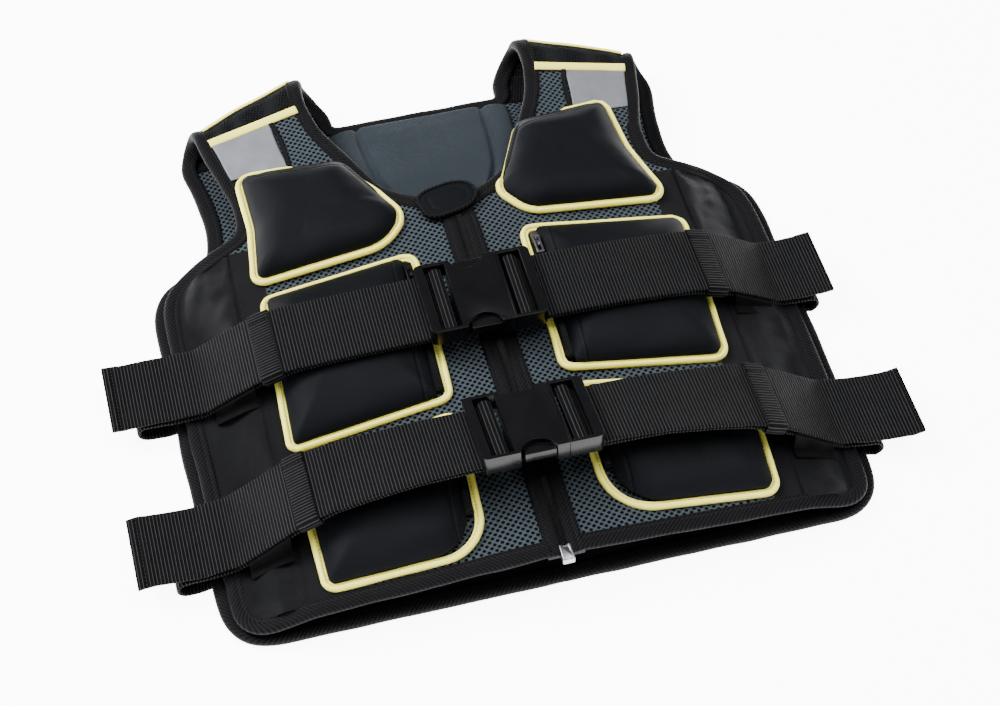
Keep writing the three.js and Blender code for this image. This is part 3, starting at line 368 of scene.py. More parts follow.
def front_spot(u, v, side):
    at = v * (len(FRONT_ROWS) - 1)
    inner, outer = (front_edge(FRONT_ROWS, key, at) for key in ("in_x", "out_x"))
    low, high = (front_edge(FRONT_ROWS, key, at) for key in ("in_y", "out_y"))
    return side * (inner + (outer - inner) * u), low + (high - low) * u


for label, side in SIDES:
    def place(u, v):
        x, y = front_spot(u, v, side)
        z = face_height(x, y)
        near_zip = np.exp(-(np.abs(x) - across(ZIP_EDGE)) / 0.007)
        z = z - 0.0016 * near_zip * (y < 0.08)
        z = z + wrinkle(level_points(x, y), 0.05, 0.0012, 2 + side)
        return x, y, z

    panel = lay_sheet(f"mesh_front_{label}", 70, 170, place, lambda u, v: front_spot(u, v, side))
    thicken(panel, PANEL_THICK, -1)
    dress(panel, air_mesh, "air_mesh", f"front_panel_{label}")
    panel.data.materials.append(side_cloth)
    for face in panel.data.polygons:
        x, y = abs(face.center.x), face.center.y + ORIGIN_Y
        if x > FACING_X and y < FACING_TOP * LENGTH:
            face.material_index = 1

# Side wings: dark polyester over thin foam, sewn to the fronts along the side seam. The cut edge swings
# round at the hem and runs up into the armhole. The cloth lies in a few soft folds.
SEAM_TUCK = 0.0006
SIDE_ROWS = named_rows("in_y out_x out_y", [
    (0.019, 1.585, 0.019),
    (0.033, 1.781, 0.026),
    (0.056, 1.902, 0.045),
    (0.095, 1.925, 0.095),
    (0.190, 1.953, 0.190),
    (0.310, 1.977, 0.310),
    (0.430, 2.000, 0.430),
    (0.520, 2.000, 0.520),
    (0.585, 1.981, 0.585),
    (0.610, 1.925, 0.615),
    (0.628, 1.781, 0.636),
    (0.643, 1.511, 0.650),
    (0.656, 1.208, 0.657),
])


def side_spot(u, v, side):
    at = v * (len(SIDE_ROWS) - 1)
    outer = across(smooth_table(SIDE_ROWS, "out_x", at))
    low, high = (smooth_table(SIDE_ROWS, key, at) * LENGTH - ORIGIN_Y for key in ("in_y", "out_y"))
    return side * (SEAM_X - SEAM_TUCK + (outer - SEAM_X + SEAM_TUCK) * u), low + (high - low) * u


for label, side in SIDES:
    def place(u, v):
        x, y = side_spot(u, v, side)
        flat = level_points(x, y)
        soft = wrinkle(flat * (1, 0.45, 1), 0.020, 0.0062, 5 + side) + wrinkle(flat, 0.010, 0.0014, 9 + side)
        held = np.clip(np.minimum(u, 1 - u) * 5, 0, 1)
        seam = 0.0012 * np.exp(-((u * 41 - 1.5) / 1.6) ** 2)
        return x, y, face_height(x, y) + soft * held - seam

    wing = lay_sheet(f"side_wing_{label}", 40, 150, place, lambda u, v: side_spot(u, v, side))
    thicken(wing, PANEL_THICK, -1)
    dress(wing, side_cloth, "side_fabric", f"side_panel_{label}")

# Back: one padded panel from the hem to the neck. The outside is black neoprene that lies flat and turns
# in over the hem. The inside is grey-blue mesh over foam, thick in the middle and thin at its sewn rim.
BACK_HALF = HALF_WIDTH + 0.006
BACK_THICK = 0.016
BACK_EDGE_THICK = 0.0045
BACK_NECK_X = 0.345 * HALF_WIDTH
BACK_FACING_TOP = 0.20
BACK_ROWS = named_rows("y x drop pad", [
    (0.014, 0.873, 0.000, 0.00),
    (0.021, 0.934, 0.000, 0.10),
    (0.043, 0.975, 0.000, 0.45),
    (0.086, 0.990, 0.000, 0.90),
    (0.214, 0.995, 0.000, 1.00),
    (0.357, 1.000, 0.000, 1.00),
    (0.500, 1.000, 0.000, 1.00),
    (0.583, 1.000, 0.000, 1.00),
    (0.619, 0.985, 0.000, 1.00),
    (0.643, 0.949, 0.000, 1.00),
    (0.662, 0.883, 0.000, 0.98),
    (0.678, 0.827, 0.000, 0.94),
    (0.705, 0.787, 0.000, 0.88),
    (0.762, 0.769, 0.002, 0.72),
    (0.821, 0.777, 0.007, 0.50),
    (0.876, 0.792, 0.018, 0.25),
    (0.914, 0.805, 0.029, 0.00),
])
neoprene = start_finish("neoprene")
cloth = object_place()
knit = clouds(cloth, 2400.0, 2.0)
tone = clouds(cloth, 14.0, 4.0)
lint = cells(cloth, 120.0)
speck = between(lint, 0.035, 0.02)
ground = blend(tone, (0.0014, 0.0018, 0.0026, 1), (0.0032, 0.0038, 0.0052, 1))
put("Base Color", blend(speck, ground, (0.012, 0.013, 0.016, 1)))
gloss(0.62, 0.05)
put("Sheen Weight", 0.01)
softness = clouds(cloth, 55.0, 3.0)
relief_of(plus(knit, times(softness, 4.0)), 0.30, 0.0004)


def back_spot(u, v):
    at = v * (len(BACK_ROWS) - 1)
    half = smooth_table(BACK_ROWS, "x", at) * BACK_HALF
    x = (2 * u - 1) * half
    past = np.clip((np.abs(x) - BACK_NECK_X) / (half - BACK_NECK_X), 0, 1)
    drop = smooth_table(BACK_ROWS, "drop", at) * past
    return x, (smooth_table(BACK_ROWS, "y", at) - drop) * LENGTH - ORIGIN_Y


def back_height(reach, pad):
    return BACK_EDGE_THICK + (BACK_THICK - BACK_EDGE_THICK) * pad * (1 - np.abs(reach) ** 3)


def back_inside(u, v):
    x, y = back_spot(u, v)
    pad = smooth_table(BACK_ROWS, "pad", v * (len(BACK_ROWS) - 1))
    soft = wrinkle(level_points(x, y), 0.07, 0.0012, 4)
    return x, y, back_height(2 * u - 1, pad) + soft * (1 - np.abs(2 * u - 1)) * 2


def back_outside(u, v):
    x, y = back_spot(u, v)
    rim = np.minimum(np.minimum(u, 1 - u) * BACK_HALF * 2, np.minimum(v, 1 - v) * LENGTH)
    return x, y, 0.0012 * np.clip(1 - rim / 0.006, 0, 1) ** 2


back = lay_sheet("back_lining", 90, 110, back_inside, back_spot)
face_up(back)
outside = lay_sheet("back_shell", 90, 110, back_outside, back_spot)
face_up(outside, upward=False)
back.data.materials.append(air_mesh)
outside.data.materials.append(neoprene)
back.select_set(True)
bpy.context.view_layer.objects.active = back
bpy.ops.object.join()
bpy.ops.object.mode_set(mode="EDIT")
bpy.ops.mesh.select_mode(type="EDGE")
bpy.ops.mesh.select_all(action="DESELECT")
bpy.ops.mesh.select_non_manifold()
bpy.ops.mesh.bridge_edge_loops()
bpy.ops.object.mode_set(mode="OBJECT")
bpy.ops.object.shade_smooth()
for face in back.data.polygons:
    if face.center.y < BACK_FACING_TOP * LENGTH - ORIGIN_Y:
        face.material_index = 1
back.name = "back"
back.data.name = "back"
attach(back, "root")
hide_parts("back_panel")

# Neck pad: a soft pad of grey-blue knit, sewn to the inside of the back behind the neck. A second
# row of stitching follows its edge and pulls an oval channel into it.
NECK_PAD_THICK = 0.004
NECK_PAD_ROWS = named_rows("y x", [
    (0.700, 0.13),
    (0.715, 0.22),
    (0.760, 0.29),
    (0.830, 0.32),
    (0.905, 0.33),
])
lining = start_finish("lining_knit")
cloth = object_place()
rows = stripes("DIAGONAL", cloth, 330.0, 0.6)
dots = cells(cloth, 700.0, 0.3)
tone = clouds(cloth, 20.0, 3.0)
knit_colour = blend(tone, (0.0085, 0.0125, 0.0165, 1), (0.0165, 0.0225, 0.0280, 1))
put("Base Color", blend(times(rows, 0.35), knit_colour, (0.024, 0.030, 0.036, 1)))
gloss(0.85, 0.12)
put("Sheen Weight", 0.02)
relief_of(plus(dots, rows), 0.45, 0.0005)


def neck_spot(u, v):
    at = v * (len(NECK_PAD_ROWS) - 1)
    return (2 * u - 1) * smooth_table(NECK_PAD_ROWS, "x", at) * HALF_WIDTH, (
        smooth_table(NECK_PAD_ROWS, "y", at) * LENGTH - ORIGIN_Y)


def neck_place(u, v):
    x, y = neck_spot(u, v)
    pad = np.interp((y + ORIGIN_Y) / LENGTH, [row["y"] for row in BACK_ROWS], [row["pad"] for row in BACK_ROWS])
    inside = np.minimum(np.minimum(u, 1 - u) * 2, np.minimum(v * 1.6, 1))
    swell = np.clip(inside / 0.16, 0, 1) ** 0.5
    channel = np.exp(-((inside - 0.30) / 0.035) ** 2)
    soft = wrinkle(level_points(x, y), 0.03, 0.0014, 7)
    return x, y, back_height(x / BACK_HALF, pad) + 0.0008 + (
        (NECK_PAD_THICK + 0.0015) * swell - 0.0034 * channel + soft * swell)


neck = lay_sheet("neck_lining", 90, 80, neck_place, neck_spot)
thicken(neck, 0.0012, -1)
dress(neck, lining, "lining", "neck_pad")

# Shoulders: two thick straps of black spacer mesh that run from the fronts over the fold to the back. One
# pale satin tape is sewn across each near the fold, and another where it joins the front.
YOKE_THICK = 0.0045
# Shares of a strap's length that lie flat at each end and that make the half turn of the fold; the upper
# tape starts TAPE_FROM degrees into that turn and covers TAPE_OVER degrees of it
YOKE_ROOT, YOKE_TURN = 0.06, 0.88
TAPE_FROM, TAPE_OVER = 30, 25
TAPE_WIDE = 0.006
TAPE_THICK = 0.0008
BACK_BOUND_THICK = BACK_EDGE_THICK + 0.0016
FOLD_EDGE = {"in_x": 0.424, "in_y": 1.000, "out_x": 0.785, "out_y": 0.938}
BACK_EDGE = {"in_x": 0.345, "in_y": 0.914, "out_x": 0.830, "out_y": 0.885}
spacer_mesh = start_finish("spacer_mesh")
cloth = object_place()
turned = node("Mapping", {"Vector": cloth, "Rotation": (0, 0, math.radians(20)), "Scale": (520, 430, 430)})
knots = cells(turned.outputs[0], 1.0, 0.15)
net = between(knots, 0.25, 0.5)
put("Base Color", blend(net, (0.0008, 0.0008, 0.0009, 1), (0.0070, 0.0072, 0.0082, 1)))
gloss(0.8, 0.06)
relief_of(net, 0.8, 0.001)
satin = start_finish("satin_tape")
cloth = cloth_map()[0]
threads = stripes("DIAGONAL", cloth, 520.0, 1.0, Detail=1.0)
soil = clouds(object_place(), 26.0, 4.0)
tint = blend(soil, (0.97, 0.89, 0.125, 1), (1.0, 0.94, 0.19, 1))
put("Base Color", blend(times(threads, 0.18), tint, (0.80, 0.66, 0.08, 1)))
gloss(0.5, 0.25)
relief_of(threads, 0.2, 0.0002)


def yoke_spot(share, v, side):
    last = FRONT_ROWS[-1]
    front_x = across(last["in_x"] + (last["out_x"] - last["in_x"]) * share)
    front_y = (last["in_y"] + (last["out_y"] - last["in_y"]) * share) * LENGTH + 0.0003
    mixed = {key: (edge[f"in_{key[-1]}"] + (edge[f"out_{key[-1]}"] - edge[f"in_{key[-1]}"]) * share)
             for key, edge in (("fold_x", FOLD_EDGE), ("fold_y", FOLD_EDGE),
                               ("back_x", BACK_EDGE), ("back_y", BACK_EDGE))}
    high = face_height(front_x, front_y - ORIGIN_Y) - PANEL_THICK / 2
    low = BACK_BOUND_THICK / 2
    radius = (high - low) / 2
    centre_y = mixed["fold_y"] * LENGTH - radius - YOKE_THICK / 2
    turn = np.pi * np.clip((v - YOKE_ROOT) / YOKE_TURN, 0, 1)
    half = turn / (np.pi / 2)
    fold_x, back_x = mixed["fold_x"] * HALF_WIDTH, mixed["back_x"] * HALF_WIDTH
    x = np.where(half < 1, front_x + (fold_x - front_x) * half, fold_x + (back_x - fold_x) * (half - 1))
    y = centre_y + radius * np.sin(turn)
    z = low + radius + radius * np.cos(turn)
    start = np.clip(v / YOKE_ROOT, 0, 1)
    end = np.clip((v - (1 - YOKE_ROOT)) / YOKE_ROOT, 0, 1)
    y = front_y + (y - front_y) * start
    y = y + (mixed["back_y"] * LENGTH + 0.0003 - y) * end
    up = np.column_stack([0 * turn, np.sin(turn), np.cos(turn)])
    return np.column_stack([side * x, y - ORIGIN_Y, z]), up


for label, side in SIDES:
    def place(u, v):
        middle, up = yoke_spot(u, v, side)
        soft = wrinkle(middle, 0.03, 0.0010, 11 + side)
        crown = 0.0012 * np.sin(np.pi * u) ** 0.7
        return (middle + up * (YOKE_THICK / 2 + crown + soft)[:, None]).T

    yoke = lay_sheet(f"yoke_{label}", 40, 60, place, lambda u, v: (u * 0.07, v * 0.07))
    thicken(yoke, YOKE_THICK, -1, flip=side < 0)
    dress(yoke, spacer_mesh, "spacer_mesh", f"shoulder_yoke_{label}")

    def tape_place(u, v):
        middle, up = yoke_spot(u, YOKE_ROOT + YOKE_TURN * (TAPE_FROM + TAPE_OVER * v) / 180, side)
        soft = wrinkle(middle, 0.03, 0.0010, 11 + side)
        lift = YOKE_THICK / 2 + 0.0008 * np.sin(np.pi * v) ** 0.6 + 0.0012 * np.sin(np.pi * u) ** 0.7 + soft
        return (middle + up * lift[:, None]).T

    tape = lay_sheet(f"shoulder_tape_upper_{label}", 60, 14, tape_place, lambda u, v: (u * 0.07, v * TAPE_WIDE))
    thicken(tape, TAPE_THICK, 1, flip=side < 0)
    dress(tape, satin, "satin_tape", f"shoulder_tape_upper_{label}")

    def low_place(u, v):
        last = FRONT_ROWS[-1]
        y = (last["in_y"] + (last["out_y"] - last["in_y"]) * u) * LENGTH - 0.0003 - TAPE_WIDE * (1 - v)
        row = [row["in_y"] for row in FRONT_ROWS]
        inner = across(np.interp(y / LENGTH, row, [row["in_x"] for row in FRONT_ROWS]))
        outer = across(np.interp(y / LENGTH, [row["out_y"] for row in FRONT_ROWS],
                                 [row["out_x"] for row in FRONT_ROWS]))
        x = side * (inner + (outer - inner) * u)
        z = face_height(x, y - ORIGIN_Y) + 0.0008 + 0.0013 * np.sin(np.pi * v) ** 0.6
        return x, y - ORIGIN_Y, z

    tape = lay_sheet(f"shoulder_tape_lower_{label}", 60, 12, low_place, lambda u, v: (u * 0.07, v * TAPE_WIDE))
    thicken(tape, TAPE_THICK, 1)
    dress(tape, satin, "satin_tape", f"shoulder_tape_lower_{label}")

# Reflective patches: silver cloth with fine glass beads, sewn on the outer corner of each front just below
# the shoulder. The cloth is a little rubbed and lies in shallow ripples.
PATCH_ROWS = named_rows("in_y out_y in_x out_x", [
    (0.800, 0.802, 0.655, 0.912),
    (0.835, 0.828, 0.672, 0.928),
    (0.868, 0.856, 0.682, 0.943),
    (0.896, 0.881, 0.686, 0.960),
])
reflective = start_finish("reflective_cloth")
cloth = object_place()
beads = cells(cloth, 1500.0, 0.4)
rubbed = clouds(cloth, 90.0, 5.0)
put("Base Color", blend(rubbed, (0.115, 0.118, 0.134, 1), (0.175, 0.179, 0.198, 1)))
put("Metallic", 0.2)
gloss(0.5, 0.2)
relief_of(beads, 0.25, 0.0003)
for label, side in SIDES:
    def patch_spot(u, v):
        at = v * (len(PATCH_ROWS) - 1)
        inner, outer = (smooth_table(PATCH_ROWS, key, at) for key in ("in_x", "out_x"))
        low, high = (smooth_table(PATCH_ROWS, key, at) for key in ("in_y", "out_y"))
        return side * across(inner + (outer - inner) * u), (low + (high - low) * u) * LENGTH - ORIGIN_Y

    def place(u, v):
        x, y = patch_spot(u, v)
        soft = wrinkle(level_points(x, y), 0.014, 0.0005, 21)
        return x, y, face_height(x, y) + 0.0010 + soft

    patch = lay_sheet(f"reflective_patch_{label}", 30, 20, place, patch_spot)
    thicken(patch, 0.0005, 1)
    dress(patch, reflective, "reflective_cloth", f"reflective_patch_{label}")

# Weight pockets: six pouches of smooth blue-black neoprene, puffed up by the weight packs inside and
# sewn to the fronts under a raised piping of pale satin. The lower four open along a coil zip.
GAP = 0.0003
SEAT_GAP = 0.0006
POCKET_DEPTH = 0.013
POCKET_CROWN = 0.0015
UPPER_SEAT = 0.0008
PIPING_WIDTH = 0.0055
COIL_WIDTH = 0.0054
AROUND = 168
BULGE_LIMIT = 0.0022
BULGE_PRESSURE = 3.0
BULGE_FRAMES = 15
PIPING_TUCK = 0.0003
# Corners of the piping's outer edge: share across, share along, and radius as a share of the seam's distance
POCKETS = {
    "upper_left": [(0.940, 0.577, 0.064), (0.898, 0.690, 0.382), (0.907, 0.808, 0.076),
                   (0.414, 0.786, 0.102), (0.204, 0.643, 0.127), (0.331, 0.590, 0.255)],
    "upper_right": [(0.949, 0.592, 0.076), (0.847, 0.715, 0.382), (0.821, 0.822, 0.064),
                    (0.357, 0.795, 0.115), (0.178, 0.655, 0.102), (0.293, 0.602, 0.153)],
    "middle_left": [(0.955, 0.264, 0.051), (0.919, 0.557, 0.064),
                    (0.223, 0.572, 0.064), (0.246, 0.286, 0.064)],
    "middle_right": [(0.921, 0.269, 0.076), (0.970, 0.560, 0.076),
                     (0.229, 0.583, 0.064), (0.204, 0.297, 0.064)],
    "lower_left": [(0.946, 0.026, 0.064), (0.955, 0.246, 0.064),
                   (0.242, 0.268, 0.064), (0.280, 0.026, 0.191)],
    "lower_right": [(0.914, 0.026, 0.076), (0.955, 0.245, 0.102),
                    (0.210, 0.275, 0.064), (0.204, 0.043, 0.216)],
}
PIPING_PROFILE = np.array([
    (-2.75, 0.0), (-2.8, 1.1), (-2.45, 2.2), (-1.7, 3.0), (-0.8, 3.2), (0.1, 2.8), (0.65, 2.0), (0.95, 1.45),
    (1.3, 1.75), (1.9, 1.9), (2.5, 1.5), (2.75, 0.0), (0.0, 0.0), (-2.75, 0.0),
]) / 1000


def unit(vectors):
    return vectors / np.maximum(np.linalg.norm(vectors, axis=-1, keepdims=True), 1e-12)


def heading(loop):
    return unit(np.roll(loop, -1, 0) - np.roll(loop, 1, 0))


def sideways(points, ups):
    return unit(np.cross(unit(np.gradient(points, axis=0)), ups))


def upright(count):
    return np.tile([0.0, 0.0, 1.0], (count, 1))


def run_of(path):
    return np.concatenate([[0], np.cumsum(np.linalg.norm(np.diff(path, axis=0), axis=1))])


def spaced(path, count):
    run = run_of(path)
    at = np.linspace(0, run[-1], count, endpoint=False)
    return np.column_stack([np.interp(at, run, path[:, 0]), np.interp(at, run, path[:, 1])])


def pocket_outline(corners, side, inward, count):
    spots = np.array([(side * across(x), y * LENGTH - ORIGIN_Y) for x, y, r in corners])
    radii = np.array([r * SEAM_X for x, y, r in corners])
    following = np.roll(spots, -1, 0)
    if np.sum(spots[:, 0] * following[:, 1] - following[:, 0] * spots[:, 1]) < 0:
        spots, radii = spots[::-1], radii[::-1]
    edge = unit(np.roll(spots, -1, 0) - spots)
    square = np.column_stack([-edge[:, 1], edge[:, 0]])
    before = np.roll(square, 1, 0)
    spots = spots + inward * (before + square) / (1 + np.sum(before * square, axis=1, keepdims=True))
    path = []
    for i, corner in enumerate(spots):
        back, ahead = spots[i - 1] - corner, spots[(i + 1) % len(spots)] - corner
        room = 0.48 * min(np.linalg.norm(back), np.linalg.norm(ahead))
        back, ahead = unit(back), unit(ahead)
        half = math.acos(np.clip(back @ ahead, -1, 1)) / 2
        cut = min(max(radii[i] - inward, 0.002) / math.tan(half), room)
        radius = cut * math.tan(half)
        centre = corner + unit(back + ahead) * radius / math.sin(half)
        start, end = corner + back * cut - centre, corner + ahead * cut - centre
        turn = (math.atan2(end[1], end[0]) - math.atan2(start[1], start[0]) + math.pi) % math.tau - math.pi
        first = math.atan2(start[1], start[0])
        path += [centre + radius * np.array([math.cos(first + turn * k / 14), math.sin(first + turn * k / 14)])
                 for k in range(15)]
    path = np.array(path + [path[0]])
    return spaced(path, count)


def seat_of(label):
    return SEAT_GAP + (UPPER_SEAT if label.startswith("upper") else 0)


def drawn_in(label):
    corners = list(POCKETS[label])
    if label.startswith("upper"):
        return corners
    room = (COIL_WIDTH + GAP) / SEAM_X
    for i in (2, 3):
        x, y, r = corners[i]
        outer = corners[3 - i]
        share = room / (outer[0] - x)
        corners[i] = (x + (outer[0] - x) * share, y + (outer[1] - y) * share, r)
    return corners


def swell(piece, held, pressure, limit):
    group = piece.vertex_groups.new(name="sewn")
    group.add([int(i) for i in np.flatnonzero(held)], 1.0, "REPLACE")
    before = points_of(piece)
    pick(piece)
    bpy.ops.object.modifier_add(type="CLOTH")
    cloth = piece.modifiers[-1]
    cloth.settings.vertex_group_mass = "sewn"
    cloth.settings.use_pressure = True
    cloth.settings.uniform_pressure_force = pressure
    cloth.settings.effector_weights.gravity = 0
    cloth.settings.bending_stiffness = 2.0
    for frame_at in range(1, BULGE_FRAMES + 1):
        bpy.context.scene.frame_set(frame_at)
    bpy.ops.object.modifier_apply(modifier=cloth.name)
    bpy.context.scene.frame_set(1)
    moved = points_of(piece) - before
    far = np.linalg.norm(moved, axis=1, keepdims=True)
    moved = moved * np.minimum(1, limit / np.maximum(far, 1e-9))
    piece.data.vertices.foreach_set("co", (before + moved).ravel())
    piece.data.update()


pocket_cloth = start_finish("pocket_neoprene")
cloth = object_place()
sewn = cloth_map()[1]
knit = clouds(cloth, 2600.0, 2.0)
tone = clouds(cloth, 11.0, 5.0)
lint = cells(cloth, 260.0)
speck = between(lint, 0.07, 0.03)
seam = away(sewn["X"], 0.0072)
groove = between(seam, 0.0, 0.0009)
row = between(away(sewn["X"], 0.0056), 0.00032, 0.0002)
dash = dashes(sewn["Y"], 0.0028, 0.66)
thread = times(row, dash)
ground = blend(tone, (0.0014, 0.0018, 0.0026, 1), (0.0034, 0.0041, 0.0057, 1))
linty = blend(speck, ground, (0.013, 0.014, 0.017, 1))
shaded = blend(groove, (0.0006, 0.0008, 0.0010, 1), linty)
put("Base Color", blend(times(thread, 0.8), shaded, (0.010, 0.011, 0.013, 1)))
gloss(0.60, 0.055)
put("Sheen Weight", 0.01)
softness = clouds(cloth, 42.0, 3.0)
relief = plus(plus(times(knit, 0.25), times(softness, 2.2)),
              plus(times(groove, 1.6), times(thread, 0.7)))
relief_of(relief, 0.4, 0.0006)
RING_TIMES = np.linspace(0, 1, 27) ** 1.45
POCKET_DRAW = np.concatenate([[1.0, 0.6, 0.25, 0.03], [0.0, -0.012], RING_TIMES[1:]])
POCKET_RISE = np.concatenate([[0.0, 0.0, 0.0, 0.0], [0.10, 0.34],
                              0.34 + 0.66 * (1 - (1 - np.minimum(RING_TIMES[1:] / 0.44, 1)) ** 2.2) ** 0.8])
POCKET_SWELL = np.concatenate([[0] * 6, 1 - (1 - RING_TIMES[1:]) ** 2])

for number, label in enumerate(POCKETS):
    side = side_of(label)
    seat = seat_of(label)
    corners = drawn_in(label)
    outline = pocket_outline(corners, side, PIPING_WIDTH - PIPING_TUCK, AROUND)
    centre = outline.mean(axis=0)
    pair = (corners[2], corners[3])
    low, high = (np.array([side * across(c[0]), c[1] * LENGTH - ORIGIN_Y]) for c in pair)
    along = unit(high - low)
    inward = np.array([-along[1], along[0]])
    inward = inward * np.sign((centre - low) @ inward)

    def pocket_spot(u, v):
        i = np.rint(u * AROUND).astype(int) % AROUND
        k = np.rint(v * (len(POCKET_DRAW) - 1)).astype(int)
        return outline[i] + (centre - outline[i]) * POCKET_DRAW[k][:, None], k

    def place(u, v):
        spot, k = pocket_spot(u, v)
        x, y = spot.T
        top = np.clip((POCKET_RISE[k] - 0.3) / 0.7, 0, 1)
        soft = wrinkle(level_points(x, y), 0.028, 0.0016, 31 + number) * top
        return x, y, face_height(x, y) + seat + POCKET_RISE[k] * POCKET_DEPTH + (
            POCKET_SWELL[k] * POCKET_CROWN + soft)

    def flat(u, v):
        spot, k = pocket_spot(u, v)
        return (spot - low) @ inward - PIPING_WIDTH - GAP, (spot - low) @ along

    pouch = lay_sheet(f"pouch_{label}", AROUND, len(POCKET_DRAW) - 1, place, flat)
    tidy_skin(pouch, merge=0.00001)
    x, y, z = points_of(pouch).T
    swell(pouch, z - face_height(x, y) < seat + 0.0050, BULGE_PRESSURE, BULGE_LIMIT)
    dress(pouch, pocket_cloth, "neoprene", f"pocket_{label}")

# Pocket piping: pale yellow satin folded over a cord and sewn round every pocket, with a stitched
# crease along its inner third and small folds where it turns the corners.
piping_cloth = start_finish("piping_satin")
sewn, parts = cloth_map()
threads = stripes("DIAGONAL", sewn, 620.0, 1.5, Detail=2.0)
place_on = object_place()
soil = clouds(place_on, 34.0, 5.0)
crease = away(parts["Y"], 0.00095)
dip = between(crease, 0.00010, 0.00040)
dash = dashes(parts["X"], 0.0026, 0.7)
# Painted shade: the tape is darkened in dashes along its stitched crease, where the stitches pull it in.
crease_painted_shade = times(calc("SUBTRACT", 1.0, dip), dash)
tint = blend(soil, (0.97, 0.89, 0.125, 1), (1.0, 0.94, 0.19, 1))
fine = blend(times(threads, 0.14), tint, (0.80, 0.66, 0.08, 1))
put("Base Color", blend(times(crease_painted_shade, 0.75), fine, (0.30, 0.23, 0.03, 1)))
gloss(0.5, 0.25)
pucker = clouds(place_on, 260.0, 2.0)
relief = plus(times(threads, 0.3), plus(times(pucker, 1.4), dip))
relief_of(relief, 0.45, 0.0004)


def sweep(name, points, outs, ups, profile, closed=False, reach=None):
    count, size = len(points), len(profile)
    run = run_of(points)
    run = np.append(run, run[-1] + np.linalg.norm(points[0] - points[-1]))
    reach = np.ones((count, 2)) if reach is None else reach
    steps = count if closed else count - 1

    def place(u, v):
        step = np.rint(u * steps).astype(int)
        i, k = step % count, np.rint(v * (size - 1)).astype(int)
        section = profile[k] * reach[i]
        return (points[i] + outs[i] * section[:, :1] + ups[i] * section[:, 1:]).T

    def flat(u, v):
        return run[np.rint(u * steps).astype(int)], profile[np.rint(v * (size - 1)).astype(int)][:, 0]

    piece = lay_sheet(name, steps, size - 1, place, flat)
    edit_all()
    bpy.ops.mesh.remove_doubles(threshold=0.000001)
    if not closed:
        bpy.ops.mesh.select_all(action="DESELECT")
        bpy.ops.mesh.select_mode(type="EDGE")
        bpy.ops.mesh.select_non_manifold()
        bpy.ops.mesh.fill_holes(sides=0)
    bpy.ops.mesh.select_all(action="SELECT")
    bpy.ops.mesh.normals_make_consistent(inside=False)
    bpy.ops.object.mode_set(mode="OBJECT")
    bpy.ops.object.shade_smooth()
    return piece


# Where the piping of an upper pocket runs out under its opening: first and last share across on the top
# edge, and the least share of its width
PIPING_PINCH = {"upper_left": (0.37, 0.60, 0.30), "upper_right": (0.25, 0.56, 0.14)}
PINCH_FADE = 0.010


def pinch_share(outline, first, last, least):
    spread = np.abs(outline[:, 0]) - np.array([[across(first)], [across(last)]])
    within = np.clip(1 - np.maximum(-spread[0], spread[1]) / PINCH_FADE, 0, 1)
    on_top = np.clip((outline[:, 1] - (0.665 * LENGTH - ORIGIN_Y)) / 0.008, 0, 1)
    return 1 - (1 - least) * ease(within * on_top)


for number, label in enumerate(POCKETS):
    side = side_of(label)
    seat = seat_of(label)
    outline = pocket_outline(POCKETS[label], side, PIPING_WIDTH / 2, 300)
    tangent = heading(outline)
    inward = np.column_stack([-tangent[:, 1], tangent[:, 0], 0 * outline[:, 0]])
    bend = np.linalg.norm(np.roll(tangent, -2, 0) - np.roll(tangent, 2, 0), axis=1)
    folds = np.sin(np.linspace(0, math.tau * 62, len(outline))) * np.clip(bend * 3, 0, 1) * 0.10
    swing = wrinkle(np.column_stack([outline * 1.0, 0 * outline[:, 0] + number]), 0.02, 0.12, 3)
    reach = np.column_stack([1 + swing * 0.8, 1 + folds + swing])
    if label in PIPING_PINCH:
        first, last, least = PIPING_PINCH[label]
        reach *= pinch_share(outline, first, last, least)[:, None]
    lift = face_height(*outline.T) + seat
    points = np.column_stack([outline, lift])
    ups = upright(len(points))
    piping = sweep(f"piping_{label}", points, inward, ups, PIPING_PROFILE, closed=True, reach=reach)
    dress(piping, piping_cloth, "satin_tape", f"piping_{label}")

# Bound edges: black diagonal twill tape folded over every cut edge and sewn down with one row of
# stitches. One length goes from the zip along the hem, up the side, round the armhole, over the
# shoulder and back down the back panel; others run round the neck and down both zip edges.
BINDING_WALL = 0.0008
ZIP_BINDING_SHARE = 0.94
BINDING_BACK_MIDDLE = BACK_BOUND_THICK / 2
BINDING_PROFILE = np.array([
    (-2.6, 0.62), (-2.2, 0.98), (-1.2, 1.04), (0.2, 0.98), (0.8, 0.90), (1.5, 1.02), (4.0, 1.05), (6.2, 0.92),
    (7.5, 0.55), (8.0, 0.0), (7.5, -0.55), (6.2, -0.92), (4.0, -1.05), (1.5, -1.02), (-1.2, -1.04),
    (-2.2, -0.98), (-2.6, -0.62), (-2.6, 0.62),
]) * (0.001, 0.5)
twill = start_finish("twill_tape")
sewn, parts = cloth_map()
lines = stripes("DIAGONAL", sewn, 230.0, 0.4)
place_on = object_place()
dust = clouds(place_on, 45.0, 5.0)
edge_row = away(parts["Y"], 0.0005)
row = between(edge_row, 0.00045, 0.00025)
dash = dashes(parts["X"], 0.0030, 0.68)
stitch = times(row, dash)
ground = blend(dust, (0.0014, 0.0014, 0.0016, 1), (0.0040, 0.0040, 0.0044, 1))
ribbed = blend(lines, ground, (0.0080, 0.0080, 0.0090, 1))
put("Base Color", blend(stitch, ribbed, (0.011, 0.011, 0.012, 1)))
gloss(0.60, 0.03)
relief = plus(lines, plus(times(stitch, 1.5), times(dust, 2.0)))
relief_of(relief, 0.55, 0.0004)


